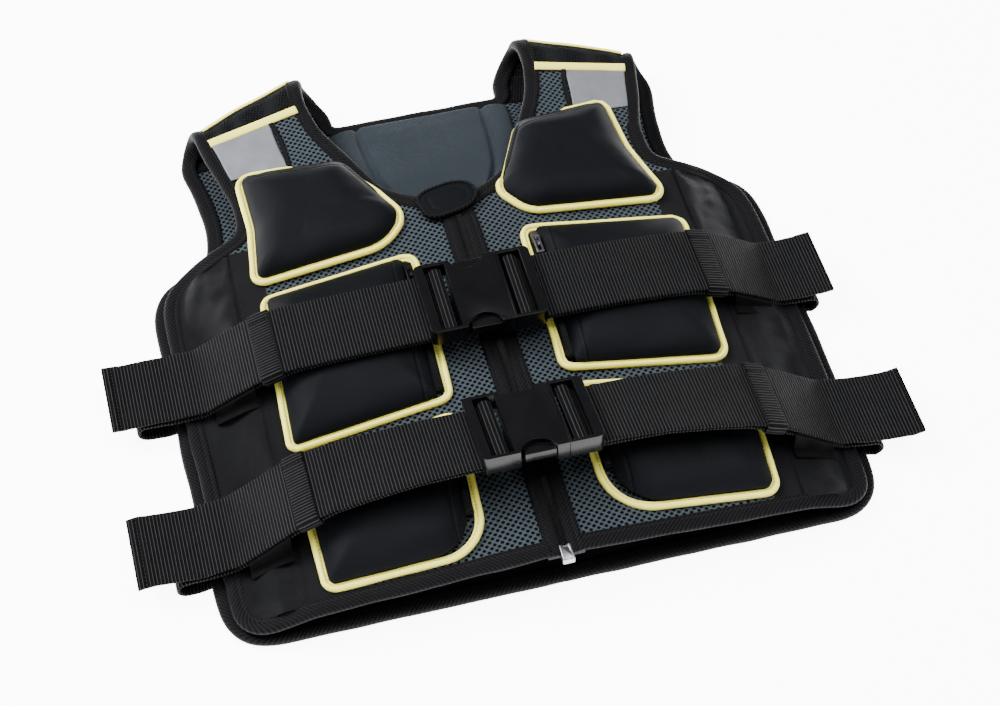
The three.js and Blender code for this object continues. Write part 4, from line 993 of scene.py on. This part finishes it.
def edge_walk(*parts):
    points, ups, thick = (np.concatenate([part[k] for part in parts]) for k in range(3))
    run = run_of(points)
    keep = np.concatenate([[True], np.diff(run) > 1e-6])
    at = np.linspace(0, run[-1], int(run[-1] / 0.0016))
    columns = np.column_stack([points, ups, thick])[keep]
    columns = np.column_stack([np.interp(at, run[keep], column) for column in columns.T])
    for _ in range(9):
        columns[1:-1] = (columns[:-2] + 2 * columns[1:-1] + columns[2:]) / 4
    return columns[:, :3], unit(columns[:, 3:6]), columns[:, 6]


def level_part(xs, ys, heights, up, thick):
    count = len(xs)
    return (np.column_stack([xs, ys, heights]), np.tile([0.0, 0.0, up], (count, 1)), np.full(count, thick))


def face_part(xs, ys):
    return level_part(xs, ys, face_height(xs, ys) - PANEL_THICK / 2, 1.0, PANEL_THICK + 2 * BINDING_WALL)


def yoke_part(share, side, steps=60):
    v = np.linspace(0.02, 0.98, steps)
    middle, up = yoke_spot(np.full(steps, share), v, side)
    return middle, up, np.full(steps, YOKE_THICK + 2 * BINDING_WALL + 0.001)


def back_part(u, v):
    xs, ys = back_spot(u, v)
    return level_part(xs, ys, np.full(len(xs), BINDING_BACK_MIDDLE), -1.0, BACK_BOUND_THICK)


def bind(name, walk, turn, *nodes, seed=1):
    points, ups, thick = walk
    outs = sideways(points, ups) * turn
    swing = wrinkle(points, 0.026, 0.16, seed)
    reach = np.column_stack([1 + swing * 0.6, thick * (1 + swing)])
    tape = sweep(name, points, outs, ups, BINDING_PROFILE, reach=reach)
    dress(tape, twill, "twill_tape", *nodes)
    return tape


NECK_START = NECK_START_ROW / (len(FRONT_ROWS) - 1)
ARMHOLE_START = 9 / (len(FRONT_ROWS) - 1)
for label, side in SIDES:
    ramp = np.linspace(0, 1, 80)
    hem = front_spot(ramp, 0 * ramp, side)
    rim = side_spot(0 * ramp + 1, ramp, side)
    armhole = front_spot(0 * ramp + 1, ARMHOLE_START + (1 - ARMHOLE_START) * ramp, side)
    end = (1 + side) / 2
    walk = edge_walk(
        face_part(*hem), face_part(*rim), face_part(*armhole), yoke_part(1.0, side),
        back_part(0 * ramp + end, 1 - ramp), back_part(end + (0.5 - end) * ramp, 0 * ramp),
    )
    bind(f"edge_binding_{label}", walk, side, f"edge_binding_{label}", seed=40 + side)
    ramp = np.linspace(0, NECK_START, 80)
    xs, ys = front_spot(0 * ramp, ramp, side)
    ys[0] -= 0.008
    strip = edge_walk(face_part(xs, ys))
    spots, ups, thick = strip
    outs = sideways(spots, ups) * -side
    wide = np.column_stack([np.full(len(spots), ZIP_BINDING_SHARE), thick])
    tape = sweep(f"zip_binding_{label}", spots - outs * 0.0002, outs, ups, BINDING_PROFILE, reach=wide)
    dress(tape, twill, "twill_tape", f"zip_binding_{label}")

ramp = np.linspace(NECK_START, 1, 80)
left_neck, right_neck = ([*front_spot(0 * ramp, ramp, side)] for side in (-1, 1))
neck_xs = np.linspace(-0.9, 0.9, 40) * BACK_EDGE["in_x"] * HALF_WIDTH
neck_line = level_part(neck_xs, 0 * neck_xs + BACK_EDGE["in_y"] * LENGTH - ORIGIN_Y,
                       0 * neck_xs + BINDING_BACK_MIDDLE, -1.0, BACK_BOUND_THICK)
right_yoke = yoke_part(0.0, 1)
walk = edge_walk(
    face_part(*left_neck), yoke_part(0.0, -1), neck_line,
    tuple(part[::-1] for part in right_yoke), face_part(right_neck[0][::-1], right_neck[1][::-1]),
)
bind("neck_binding", walk, 1, "neck_binding", seed=44)

# Pocket hems: the openings along the tops of the upper pockets are bound with the same black twill, and
# a narrow tape of it edges each reflective patch on its inner side.
HEM_PROFILE = np.array([
    (-2.6, -0.4), (-2.7, 0.2), (-2.1, 0.7), (0.0, 0.85), (2.1, 0.7), (2.7, 0.2), (2.6, -0.4), (0.0, -0.5),
    (-2.6, -0.4),
]) / 1000
for label in ("upper_left", "upper_right"):
    side = side_of(label)
    outline = pocket_outline(POCKETS[label], side, PIPING_WIDTH - 0.0002, 400)
    first, last, least = PIPING_PINCH[label]
    on_top = (outline[:, 1] > 0.690 * LENGTH - ORIGIN_Y) & (
        np.abs(outline[:, 0]) > across(first - 0.06)) & (np.abs(outline[:, 0]) < across(last + 0.20))
    start = int(np.flatnonzero(on_top & ~np.roll(on_top, 1))[0])
    spots = np.roll(outline, -start, 0)[:int(on_top.sum())]
    rise = face_height(*spots.T) + SEAT_GAP + UPPER_SEAT + 0.0046
    walk = edge_walk((np.column_stack([spots, rise]), upright(len(spots)), rise * 0 + 1))
    points, ups, thick = walk
    outs = sideways(points, ups)
    tilt = math.radians(38)
    leaning = unit(outs * math.cos(tilt) - ups * math.sin(tilt))
    steep = unit(ups * math.cos(tilt) + outs * math.sin(tilt))
    taper = np.minimum(1, np.minimum(np.arange(len(points)), np.arange(len(points))[::-1]) / 5 + 0.25)
    hem = sweep(f"pocket_hem_{label}", points, leaning, steep, HEM_PROFILE,
                reach=np.column_stack([taper, taper]))
    dress(hem, twill, "twill_tape")

for label, side in SIDES:
    ramp = np.linspace(0, 1, 60)
    at = ramp * (len(PATCH_ROWS) - 1)
    bow = 0.010 * np.sin(np.pi * ramp)
    xs = side * (across(smooth_table(PATCH_ROWS, "in_x", at)) - 0.0006 - bow * 0.25)
    ys = smooth_table(PATCH_ROWS, "in_y", at) * LENGTH - ORIGIN_Y
    line = np.column_stack([xs, ys, face_height(xs, ys) + 0.0016])
    points, ups, thick = edge_walk((line, upright(60), 0 * xs + 1))
    outs = sideways(points, ups)
    strip = sweep(f"patch_tape_{label}", points, outs, ups, HEM_PROFILE * (0.62, 0.55))
    dress(strip, twill, "twill_tape")

# Front zip: a closed black coil between the bound edges, with a bright metal box at the hem. A small
# soft tab of neoprene, bound with the same twill, covers the slider at the neck.
ZIP_HALF = 0.0038
COIL_PITCH = 0.0013
coil_black = start_finish("zip_coil")
put("Base Color", (0.0010, 0.0010, 0.0012, 1))
gloss(0.40, 0.12)
zip_metal = start_finish("zip_metal")
scuff = clouds(object_place(), 400.0, 4.0)
put("Base Color", blend(scuff, (0.13, 0.13, 0.135, 1), (0.27, 0.27, 0.28, 1)))
put("Metallic", 0.9)
put("Roughness", 0.28)


def coil_teeth(name, count, pitch, half_gap, length, radius):
    rows = []
    for side in (-1, 1):
        bpy.ops.object.select_all(action="DESELECT")
        bpy.ops.mesh.primitive_cylinder_add(vertices=8, radius=radius, depth=length)
        tooth = bpy.context.object
        edit_all()
        bpy.ops.transform.rotate(value=math.pi / 2, orient_axis="Y", center_override=(0, 0, 0))
        bpy.ops.transform.translate(value=(side * half_gap, pitch * (0.25 if side > 0 else -0.25), 0))
        bpy.ops.object.mode_set(mode="OBJECT")
        shape(tooth, "ARRAY", count=count, use_relative_offset=False, use_constant_offset=True,
              constant_offset_displace=(0, pitch, 0))
        rows.append(tooth)
    bpy.ops.object.select_all(action="DESELECT")
    for row in rows:
        row.select_set(True)
    bpy.context.view_layer.objects.active = rows[0]
    bpy.ops.object.join()
    rows[0].name = name
    rows[0].data.name = name
    bpy.ops.object.shade_smooth_by_angle(angle=math.radians(40))
    return rows[0]


def move_points(piece, change):
    piece.data.vertices.foreach_set("co", np.column_stack(change(*points_of(piece).T)).ravel())
    piece.data.update()


zip_start = 0.0075 - ORIGIN_Y
zip_end = front_spot(np.array([0.0]), np.array([NECK_START]), 1)[1][0]
zip_run = zip_end - zip_start
teeth = coil_teeth("front_zip_teeth", int(zip_run / COIL_PITCH), COIL_PITCH, 0.0009, 0.0020, 0.00045)
move_points(teeth, lambda x, y, z: (x, y + zip_start, z + face_height(0 * x, y + zip_start) - 0.0008))
dress(teeth, coil_black, "zip_coil")
tape = lay_sheet("front_zip_tape", 8, 120,
                 lambda u, v: ((2 * u - 1) * ZIP_HALF, zip_start + v * zip_run,
                               face_height(0 * u, zip_start + v * zip_run) - 0.0015),
                 lambda u, v: (v * zip_run, u * 0.008 + 0.01))
thicken(tape, 0.0012, -1)
dress(tape, twill, "zip_coil", "front_zip")


def bevelled_box(name, size, place, width=0.0006, turn=0.0):
    bpy.ops.object.select_all(action="DESELECT")
    bpy.ops.mesh.primitive_cube_add(size=1)
    box = bpy.context.object
    box.name = name
    box.data.name = name
    edit_all()
    bpy.ops.transform.resize(value=size)
    if turn:
        bpy.ops.transform.rotate(value=turn, orient_axis="Z", center_override=(0, 0, 0))
    bpy.ops.transform.translate(value=place)
    bpy.ops.object.mode_set(mode="OBJECT")
    if width:
        shape(box, "BEVEL", width=width, segments=3)
        bpy.ops.object.shade_smooth_by_angle(angle=math.radians(35))
    return box


def cut(piece, cutter):
    shape(piece, "BOOLEAN", object=cutter, operation="DIFFERENCE", solver="EXACT")
    bpy.data.objects.remove(cutter, do_unlink=True)


box_height = face_height(0.0, -ORIGIN_Y) - PANEL_THICK / 2
box = bevelled_box("zip_box", (0.0074, 0.011, 0.0050), (0, -ORIGIN_Y, box_height), 0.0007)
cut(box, bevelled_box("box_slot", (0.0030, 0.0040, 0.003), (0, 0.0052 - ORIGIN_Y, box_height + 0.0022), 0))
dress(box, zip_metal, "zip_metal", "zip_box")

TAB_TURN = math.radians(12)
TAB_LONG, TAB_WIDE = 0.041, 0.027
TAB_AROUND = 120
TAB_CENTRE = np.array([-0.027 * SEAM_X, 0.655 * LENGTH - ORIGIN_Y])
tab_height = face_height(0.0, TAB_CENTRE[1]) + GAP


def tab_outline(count, inward):
    angle = np.linspace(0, math.tau, count, endpoint=False)
    half_long, half_wide = TAB_LONG / 2 - inward, TAB_WIDE / 2 - inward
    soft = np.where(np.cos(angle) > 0, 2 / 2.3, 2 / 3.6)
    x = half_long * np.sign(np.cos(angle)) * np.abs(np.cos(angle)) ** soft
    y = half_wide * np.sign(np.sin(angle)) * np.abs(np.sin(angle)) ** soft
    cos, sin = math.cos(TAB_TURN), math.sin(TAB_TURN)
    return np.column_stack([x * cos - y * sin, x * sin + y * cos]) + TAB_CENTRE


TAB_DRAW = np.concatenate([[1.0, 0.5, 0.0], np.linspace(0, 1, 20) ** 1.3])
TAB_RISE = np.concatenate([[0.0, 0.0, 0.0], 0.0028 + 0.0012 * np.sin(np.linspace(0, np.pi / 2, 20))])
tab_rim = tab_outline(TAB_AROUND, 0.0018)


def tab_place(u, v):
    i = np.rint(u * TAB_AROUND).astype(int) % TAB_AROUND
    k = np.rint(v * (len(TAB_DRAW) - 1)).astype(int)
    spot = tab_rim[i] + (TAB_CENTRE - tab_rim[i]) * TAB_DRAW[k][:, None]
    ring = 0.0006 * np.exp(-((TAB_DRAW[k] - 0.30) / 0.05) ** 2) * (k > 3)
    return spot[:, 0], spot[:, 1], tab_height + TAB_RISE[k] - ring


tab = lay_sheet("zip_tab", TAB_AROUND, len(TAB_DRAW) - 1, tab_place, lambda u, v: (0 * u + 1, v))
tidy_skin(tab, merge=0.00001)
dress(tab, neoprene, "neoprene", "zip_tab")
rim = tab_outline(200, 0.0020)
tangent = heading(rim)
inward = np.column_stack([-tangent[:, 1], tangent[:, 0], 0 * rim[:, 0]])
lip = sweep("zip_tab_binding", np.column_stack([rim, 0 * rim[:, 0] + tab_height + 0.0020]), -inward,
            upright(200), BINDING_PROFILE * (0.24, 0.0036), closed=True)
dress(lip, twill, "twill_tape")

# Pocket zips: short black coils down the inner edge of the lower four pockets, each with a slider and a
# flat pull at its top end; the pull of the right middle pocket is grey.
INNER = (2, 3)
POCKET_COIL_PITCH = 0.0011
SLIDER_SIZE = (0.0050, 0.0085, 0.0026)
BRIDGE_SIZE = (0.0016, 0.0056, 0.0016)
PULL_SIZE = (0.0050, 0.0150, 0.0013)
PULL_HOLES = [((0.0024, 0.0034, 0.006), 0.0028), ((0.0022, 0.0038, 0.006), 0.0110)]
pull_grey = start_finish("pull_grey")
put("Base Color", (0.035, 0.034, 0.040, 1))
put("Roughness", 0.36)
put("Metallic", 0.35)
for label in [name for name in POCKETS if not name.startswith("upper")]:
    side = side_of(label)
    top, bottom = (POCKETS[label][i] for i in INNER)
    run = (top[1] - bottom[1]) * LENGTH
    first = (top[2] * SEAM_X + COIL_WIDTH / 2) / run
    last = 1 - bottom[2] * SEAM_X / run

    def coil_line(y):
        t = (top[1] - (y + ORIGIN_Y) / LENGTH) / (top[1] - bottom[1])
        return side * (across(top[0] + (bottom[0] - top[0]) * t) + PIPING_WIDTH + GAP + COIL_WIDTH / 2)

    start_y = top[1] * LENGTH - ORIGIN_Y - last * run
    length = (last - first) * run
    count = int(length / POCKET_COIL_PITCH)
    teeth = coil_teeth(f"pocket_zip_teeth_{label}", count, POCKET_COIL_PITCH, 0.00085, 0.0016, 0.00036)
    move_points(teeth, lambda x, y, z: (
        x + coil_line(y + start_y), y + start_y,
        z + face_height(coil_line(y + start_y), y + start_y) + SEAT_GAP + 0.0050))
    dress(teeth, coil_black, "zip_coil")

    def tape_place(u, v):
        y = start_y - 0.002 + v * (length + 0.004)
        middle = coil_line(y)
        return middle + (2 * u - 1) * 0.0031, y, face_height(middle, y) + SEAT_GAP + 0.0046 - 0.0006 * (
            np.abs(2 * u - 1) ** 2)

    tape = lay_sheet(f"pocket_zip_{label}", 10, 60, tape_place, lambda u, v: (v * length, u * 0.006 + 0.01))
    thicken(tape, 0.0044, -1)
    dress(tape, twill, "zip_coil", f"pocket_zip_{label}")
    head_y = start_y + length - 0.0040
    head_x = float(coil_line(head_y))
    head_z = float(face_height(head_x, head_y)) + SEAT_GAP + 0.0058
    metal = pull_grey if label == "middle_right" else coil_black
    slider = bevelled_box(f"slider_{label}", SLIDER_SIZE, (head_x, head_y, head_z), 0.0008)
    dress(slider, metal, "zip_metal")
    bridge = bevelled_box(f"slider_bridge_{label}", BRIDGE_SIZE, (head_x, head_y, head_z + 0.0018), 0.0005)
    dress(bridge, metal, "zip_metal")
    pull_z = head_z + 0.0023
    pull = bevelled_box(f"pull_{label}", PULL_SIZE, (head_x, head_y - 0.0070, pull_z), 0.0005)
    for size, down in PULL_HOLES:
        cut(pull, bevelled_box("hole", size, (head_x, head_y - down, pull_z), 0))
    dress(pull, metal, "zip_metal")

# Straps: four lengths of ribbed black webbing, two from each side. Each comes from under the side in a
# loose fold, runs in over the pockets to its buckle, winds round the bar and comes back out on top of
# itself to a loose end that is folded over and stitched. The places follow the fronts' shares.
STRAP_HALF = 0.025
STRAP_THICK = 0.002
STRAP_SEAT = 0.0012
LAYER_STEP = 0.0023
GUIDE_STEP = 0.0043
GUIDE_X = 1.404
GUIDE_LENGTH = 0.026
BUCKLE_LENGTH = 0.074
POCKET_HEIGHT = POCKET_DEPTH + POCKET_CROWN
END_FOLD = 0.0105
BUCKLES = {
    "upper": {"x": -0.040, "y": 0.429, "pitch": 0.0, "lift": 0.0},
    "lower": {"x": -0.007, "y": 0.174, "pitch": -11.0, "lift": 0.26},
}
STRAPS = {
    "upper_left": {"end_y": 0.448, "turn_x": 2.927, "end_x": 3.268},
    "upper_right": {"end_y": 0.433, "turn_x": 2.561, "end_x": 2.756},
    "lower_left": {"end_y": 0.164, "turn_x": 2.805, "end_x": 3.317},
    "lower_right": {"end_y": 0.148, "turn_x": 2.561, "end_x": 3.146},
}
# Place across, height over the front in pocket heights, and share of the buckle's lift and tilt
STRAP_LINE = np.array([
    (0.293, 1.02, 1.00, 1.00), (0.509, 1.17, 1.00, 0.90), (0.713, 1.17, 1.00, 0.63), (0.840, 1.12, 0.90, 0.43),
    (1.020, 0.63, 0.30, 0.18), (1.439, 0.33, 0.01, 0.06), (1.861, 0.12, 0.00, 0.00), (2.327, 0.06, 0.00, 0.00),
])
# The webbing round the bar: distance in from the buckle's end and height over its rest, in millimetres
WRAP = np.array([
    (-3.0, 1.2), (14.1, 1.2), (16.5, 2.6), (16.8, 4.6), (16.8, 7.6), (15.3, 9.0), (11.0, 9.0), (9.5, 7.4),
    (9.2, 5.2), (7.4, 3.8), (5.1, 3.5), (-3.0, 3.5),
]) / 1000
webbing = start_finish("webbing")
sewn, parts = cloth_map()
ribs = calc("SINE", times(parts["X"], math.tau / 0.0021))
rib = between(ribs, -0.6, 0.9)
crest = between(ribs, 0.55, 1.0)
threads = calc("SINE", times(parts["Y"], math.tau / 0.0009))
place_on = object_place()
dust = clouds(place_on, 60.0, 5.0)
fibre = clouds(place_on, 1800.0, 2.0)
fold_row = away(parts["X"], END_FOLD - 0.002)
row = between(fold_row, 0.0007, 0.0004)
tack = dashes(parts["Y"], 0.0026, 0.65)
stitch = times(row, tack)
ground = blend(dust, (0.0024, 0.0024, 0.0027, 1), (0.0056, 0.0056, 0.0061, 1))
lit = blend(times(crest, plus(0.35, times(fibre, 0.9))), ground, (0.042, 0.042, 0.044, 1))
put("Base Color", blend(stitch, lit, (0.0008, 0.0008, 0.0008, 1)))
gloss(0.62, 0.018)
relief = plus(times(rib, 1.6), plus(times(threads, 0.12), times(stitch, -1.2)))
relief_of(relief, 0.75, 0.0006)


def strap_level(x, row):
    buckle = BUCKLES[row]
    places = across(STRAP_LINE[:, 0])
    heights = face_height(places, buckle_mid("upper")) + SEAT_GAP + STRAP_THICK / 2 + (
        STRAP_LINE[:, 1] * POCKET_HEIGHT + STRAP_LINE[:, 2] * buckle["lift"] * POCKET_DEPTH)
    return np.interp(x, places, heights), np.interp(x, places, STRAP_LINE[:, 3] * buckle["pitch"])


def buckle_mid(row):
    return BUCKLES[row]["y"] * LENGTH - ORIGIN_Y


def strap_middle(x, label):
    row, strap = label.split("_")[0], STRAPS[label]
    end_x = across(strap["end_x"])
    share = np.clip((x - BUCKLE_LENGTH) / (end_x - BUCKLE_LENGTH), 0, 1)
    return (BUCKLES[row]["y"] + (strap["end_y"] - BUCKLES[row]["y"]) * share) * LENGTH - ORIGIN_Y


def strap_walk(label):
    row, side = label.split("_")[0], side_of(label)
    strap = STRAPS[label]
    turn_x, end_x = across(strap["turn_x"]), across(strap["end_x"])
    buckle_end = BUCKLE_LENGTH / 2 + side * BUCKLES[row]["x"] * SEAM_X
    start = BACK_HALF + 0.008 + 3 * GAP
    floor_z = STRAP_THICK / 2 + GAP
    over = float(strap_level(start, row)[0])
    radius = (over - floor_z) / 2
    centre = turn_x - radius - STRAP_THICK / 2
    path = [(BACK_HALF + 0.001, floor_z + 0.0022), (BACK_HALF + 0.006, floor_z + 0.0018),
            (start + 0.004, floor_z)]
    for angle in np.radians(np.arange(-90, 91, 15)):
        path.append((centre + radius * math.cos(angle), floor_z + radius + radius * math.sin(angle)))
    outmost, inmost = across(STRAP_LINE[-1, 0]), across(STRAP_LINE[0, 0])
    places = [x for x in np.linspace(outmost, inmost, 60) if buckle_end + 0.004 < x < centre - 0.004]
    lower = [(x, float(strap_level(x, row)[0])) for x in places]
    path += lower
    rest = float(strap_level(0.0, row)[0]) - STRAP_SEAT
    path += [(buckle_end - x, rest + z) for x, z in WRAP]
    guide_start = across(GUIDE_X) - GUIDE_LENGTH
    for x, z in lower[::-1]:
        near = np.clip(1 - abs(x - (guide_start + HALF_WIDTH) / 2) / 0.045, 0, 1)
        path.append((x, z + LAYER_STEP + (GUIDE_STEP - LAYER_STEP) * min(1, near * 3)))
    level = max(path[-1][1], over + LAYER_STEP)
    path += [(turn_x, level), (end_x, level + STRAP_THICK / 2)]
    path = np.array(path)
    run = run_of(path)
    steps = int(run[-1] / 0.0011)
    at = np.linspace(0, run[-1], steps)
    x, z = (np.interp(at, run, path[:, k]) for k in (0, 1))
    for _ in range(5):
        x[1:-1] = (x[:-2] + 2 * x[1:-1] + x[2:]) / 4
        z[1:-1] = (z[:-2] + 2 * z[1:-1] + z[2:]) / 4
    return x, z, at, at[-1] - at, side, row


STRAP_EDGE = np.array([(-1, -0.35), (-1, 0.35), (-0.985, 0.8), (-0.95, 1.0)])
STRAP_PROFILE = np.concatenate([
    STRAP_EDGE, np.column_stack([np.linspace(-0.9, 0.9, 21), np.ones(21)]), (STRAP_EDGE * (-1, 1))[::-1],
    (STRAP_EDGE * (-1, -1))[1:], np.column_stack([np.linspace(0.9, -0.9, 21), -np.ones(21)]),
    (STRAP_EDGE * (1, -1))[::-1],
]) * (STRAP_HALF, STRAP_THICK / 2)

for number, label in enumerate(STRAPS):
    x, z, run, back_from_end, side, row = strap_walk(label)
    rest = float(strap_level(0.0, row)[0])
    pitch = np.radians(strap_level(x, row)[1])
    above = np.where(x < across(0.45), np.clip(z - rest, 0, 1), 0)
    slope = unit(np.column_stack([np.gradient(x), np.gradient(z)]))
    loose = np.clip((x - across(1.9)) / 0.05, 0, 1) * (back_from_end < 0.11)
    sway = wrinkle(np.column_stack([x, 0 * x, z * 3]), 0.035, 0.0035, 50 + number) * loose
    lift = wrinkle(np.column_stack([x, 0 * x + 3, z]), 0.03, 0.0030, 60 + number) * loose
    y = strap_middle(x, label) - above * np.sin(pitch) + sway
    points = np.column_stack([side * x, y, z + np.abs(lift)])
    outs = np.column_stack([0 * x, np.cos(pitch), np.sin(pitch)])
    ups = np.column_stack([side * -slope[:, 1], -slope[:, 0] * np.sin(pitch), slope[:, 0] * np.cos(pitch)])
    doubled = 1 + 0.75 * np.clip((END_FOLD - back_from_end) / 0.0012, 0, 1)
    reach = np.column_stack([np.ones(len(x)), doubled])
    strap = sweep(f"strap_{label}", points, outs, ups, STRAP_PROFILE, reach=reach)
    sheet_map = strap.data.uv_layers.active.data
    total = run[-1]
    flat_map = np.empty(len(sheet_map) * 2)
    sheet_map.foreach_get("uv", flat_map)
    flat_map = flat_map.reshape(-1, 2)
    flat_map[:, 0] = total - flat_map[:, 0]
    sheet_map.foreach_set("uv", flat_map.ravel())
    dress(strap, webbing, "webbing", f"strap_{label}")

# Keepers and guide loops: ribbed rings round both layers of each strap, and bands of a finer elastic tape
# over the straps with their feet sewn to the side wings.
elastic = start_finish("elastic_tape")
place_on = object_place()
fine = stripes("X", place_on, 420.0, 0.3)
cross = stripes("Y", place_on, 300.0, 0.3)
dust = clouds(place_on, 50.0, 5.0)
ground = blend(dust, (0.0018, 0.0018, 0.0020, 1), (0.0042, 0.0042, 0.0046, 1))
put("Base Color", blend(times(times(fine, cross), 0.8), ground, (0.009, 0.009, 0.010, 1)))
gloss(0.62, 0.015)
relief_of(plus(fine, cross), 0.4, 0.0003)


def copy_part(name, new_name, merge=0.00002):
    source = bpy.data.objects[name]
    copied = source.copy()
    copied.data = source.data.copy()
    copied.name = new_name
    copied.data.name = new_name
    bpy.context.scene.collection.objects.link(copied)
    place = source.matrix_world.copy()
    copied.parent = None
    copied.data.transform(place)
    copied.matrix_world.identity()
    pick(copied)
    edit_all()
    bpy.ops.mesh.remove_doubles(threshold=merge)
    bpy.ops.mesh.dissolve_limited(angle_limit=math.radians(2))
    bpy.ops.mesh.normals_make_consistent(inside=False)
    bpy.ops.object.mode_set(mode="OBJECT")
    return copied


KEEPER_X = 0.936
KEEPER_LENGTH = 0.014
KEEPER_LOW, KEEPER_HIGH = -0.0014, 0.0057
KEEPER_CORNER = 0.0024
KEEPER_AROUND = 150
KEEPER_PROFILE = np.array([
    (-0.5, 0.0), (-0.5, 0.5), (-0.46, 1.0), (-0.2, 1.1), (0.2, 1.1), (0.46, 1.0), (0.5, 0.5), (0.5, 0.0),
    (-0.5, 0.0),
]) * (KEEPER_LENGTH, 0.0010)


def keeper_loop(count):
    half, loop = STRAP_HALF + 0.0006, []
    reach, low, high = half - KEEPER_CORNER, KEEPER_LOW + KEEPER_CORNER, KEEPER_HIGH - KEEPER_CORNER
    for y, z, first in ((reach, high, 0), (-reach, high, 90), (-reach, low, 180), (reach, low, 270)):
        for angle in np.radians(first + np.arange(0, 91, 10)):
            loop.append((y + KEEPER_CORNER * math.cos(angle), z + KEEPER_CORNER * math.sin(angle)))
    loop = np.array(loop + [loop[0]])
    return spaced(loop, count)


for label in STRAPS:
    row, side = label.split("_")[0], side_of(label)
    keeper_x = float(across(KEEPER_X))
    level, pitch = (float(value) for value in strap_level(keeper_x, row))
    rise = float(strap_level(keeper_x + 0.006, row)[0] - strap_level(keeper_x - 0.006, row)[0]) / 0.012
    along = unit(np.array([side, 0.0, rise]))
    wide = np.array([0.0, math.cos(math.radians(pitch)), math.sin(math.radians(pitch))])
    upward = unit(np.cross(along, wide) * side)
    loop = keeper_loop(KEEPER_AROUND)
    tangent = heading(loop)
    middle = np.array([side * keeper_x, float(strap_middle(keeper_x, label)), level])
    points = middle + loop[:, :1] * wide + loop[:, 1:] * upward
    outward = tangent[:, 1:] * wide - tangent[:, :1] * upward
    outs = np.tile(along, (KEEPER_AROUND, 1))
    ring = sweep(f"keeper_band_{label}", points, outs, outward, KEEPER_PROFILE, closed=True)
    dress(ring, webbing, "elastic", f"keeper_{label}")
    guide = copy_part(f"guide_loop_{label}", f"guide_loop_band_{label}")
    shape(guide, "BEVEL", width=0.0004, segments=3, limit_method="ANGLE", angle_limit=math.radians(30))
    bpy.ops.object.shade_smooth_by_angle(angle=math.radians(40))
    dress(guide, elastic, "webbing", f"guide_loop_{label}")

# Buckles: two side-release buckles of satin black nylon, a socket with arched finger recesses and a plug
# whose sprung arms show in them. Every edge is softly rounded, as moulded.
buckle_nylon = start_finish("buckle_nylon")
place_on = object_place()
grain = clouds(place_on, 3000.0, 2.0)
rub = clouds(place_on, 60.0, 6.0)
put("Base Color", blend(rub, (0.0018, 0.0018, 0.0021, 1), (0.0036, 0.0036, 0.0042, 1)))
gloss(plus(0.15, times(rub, 0.12)), 0.16)
relief_of(grain, 0.15, 0.0002)
for row in BUCKLES:
    for kind in ("socket", "plug"):
        half = copy_part(f"buckle_{kind}_{row}", f"side_release_{kind}_{row}")
        shape(half, "BEVEL", width=0.0006, segments=3, limit_method="ANGLE", angle_limit=math.radians(32))
        bpy.ops.object.shade_smooth_by_angle(angle=math.radians(38))
        dress(half, buckle_nylon, "buckle_plastic", f"buckle_{kind}_{row}")
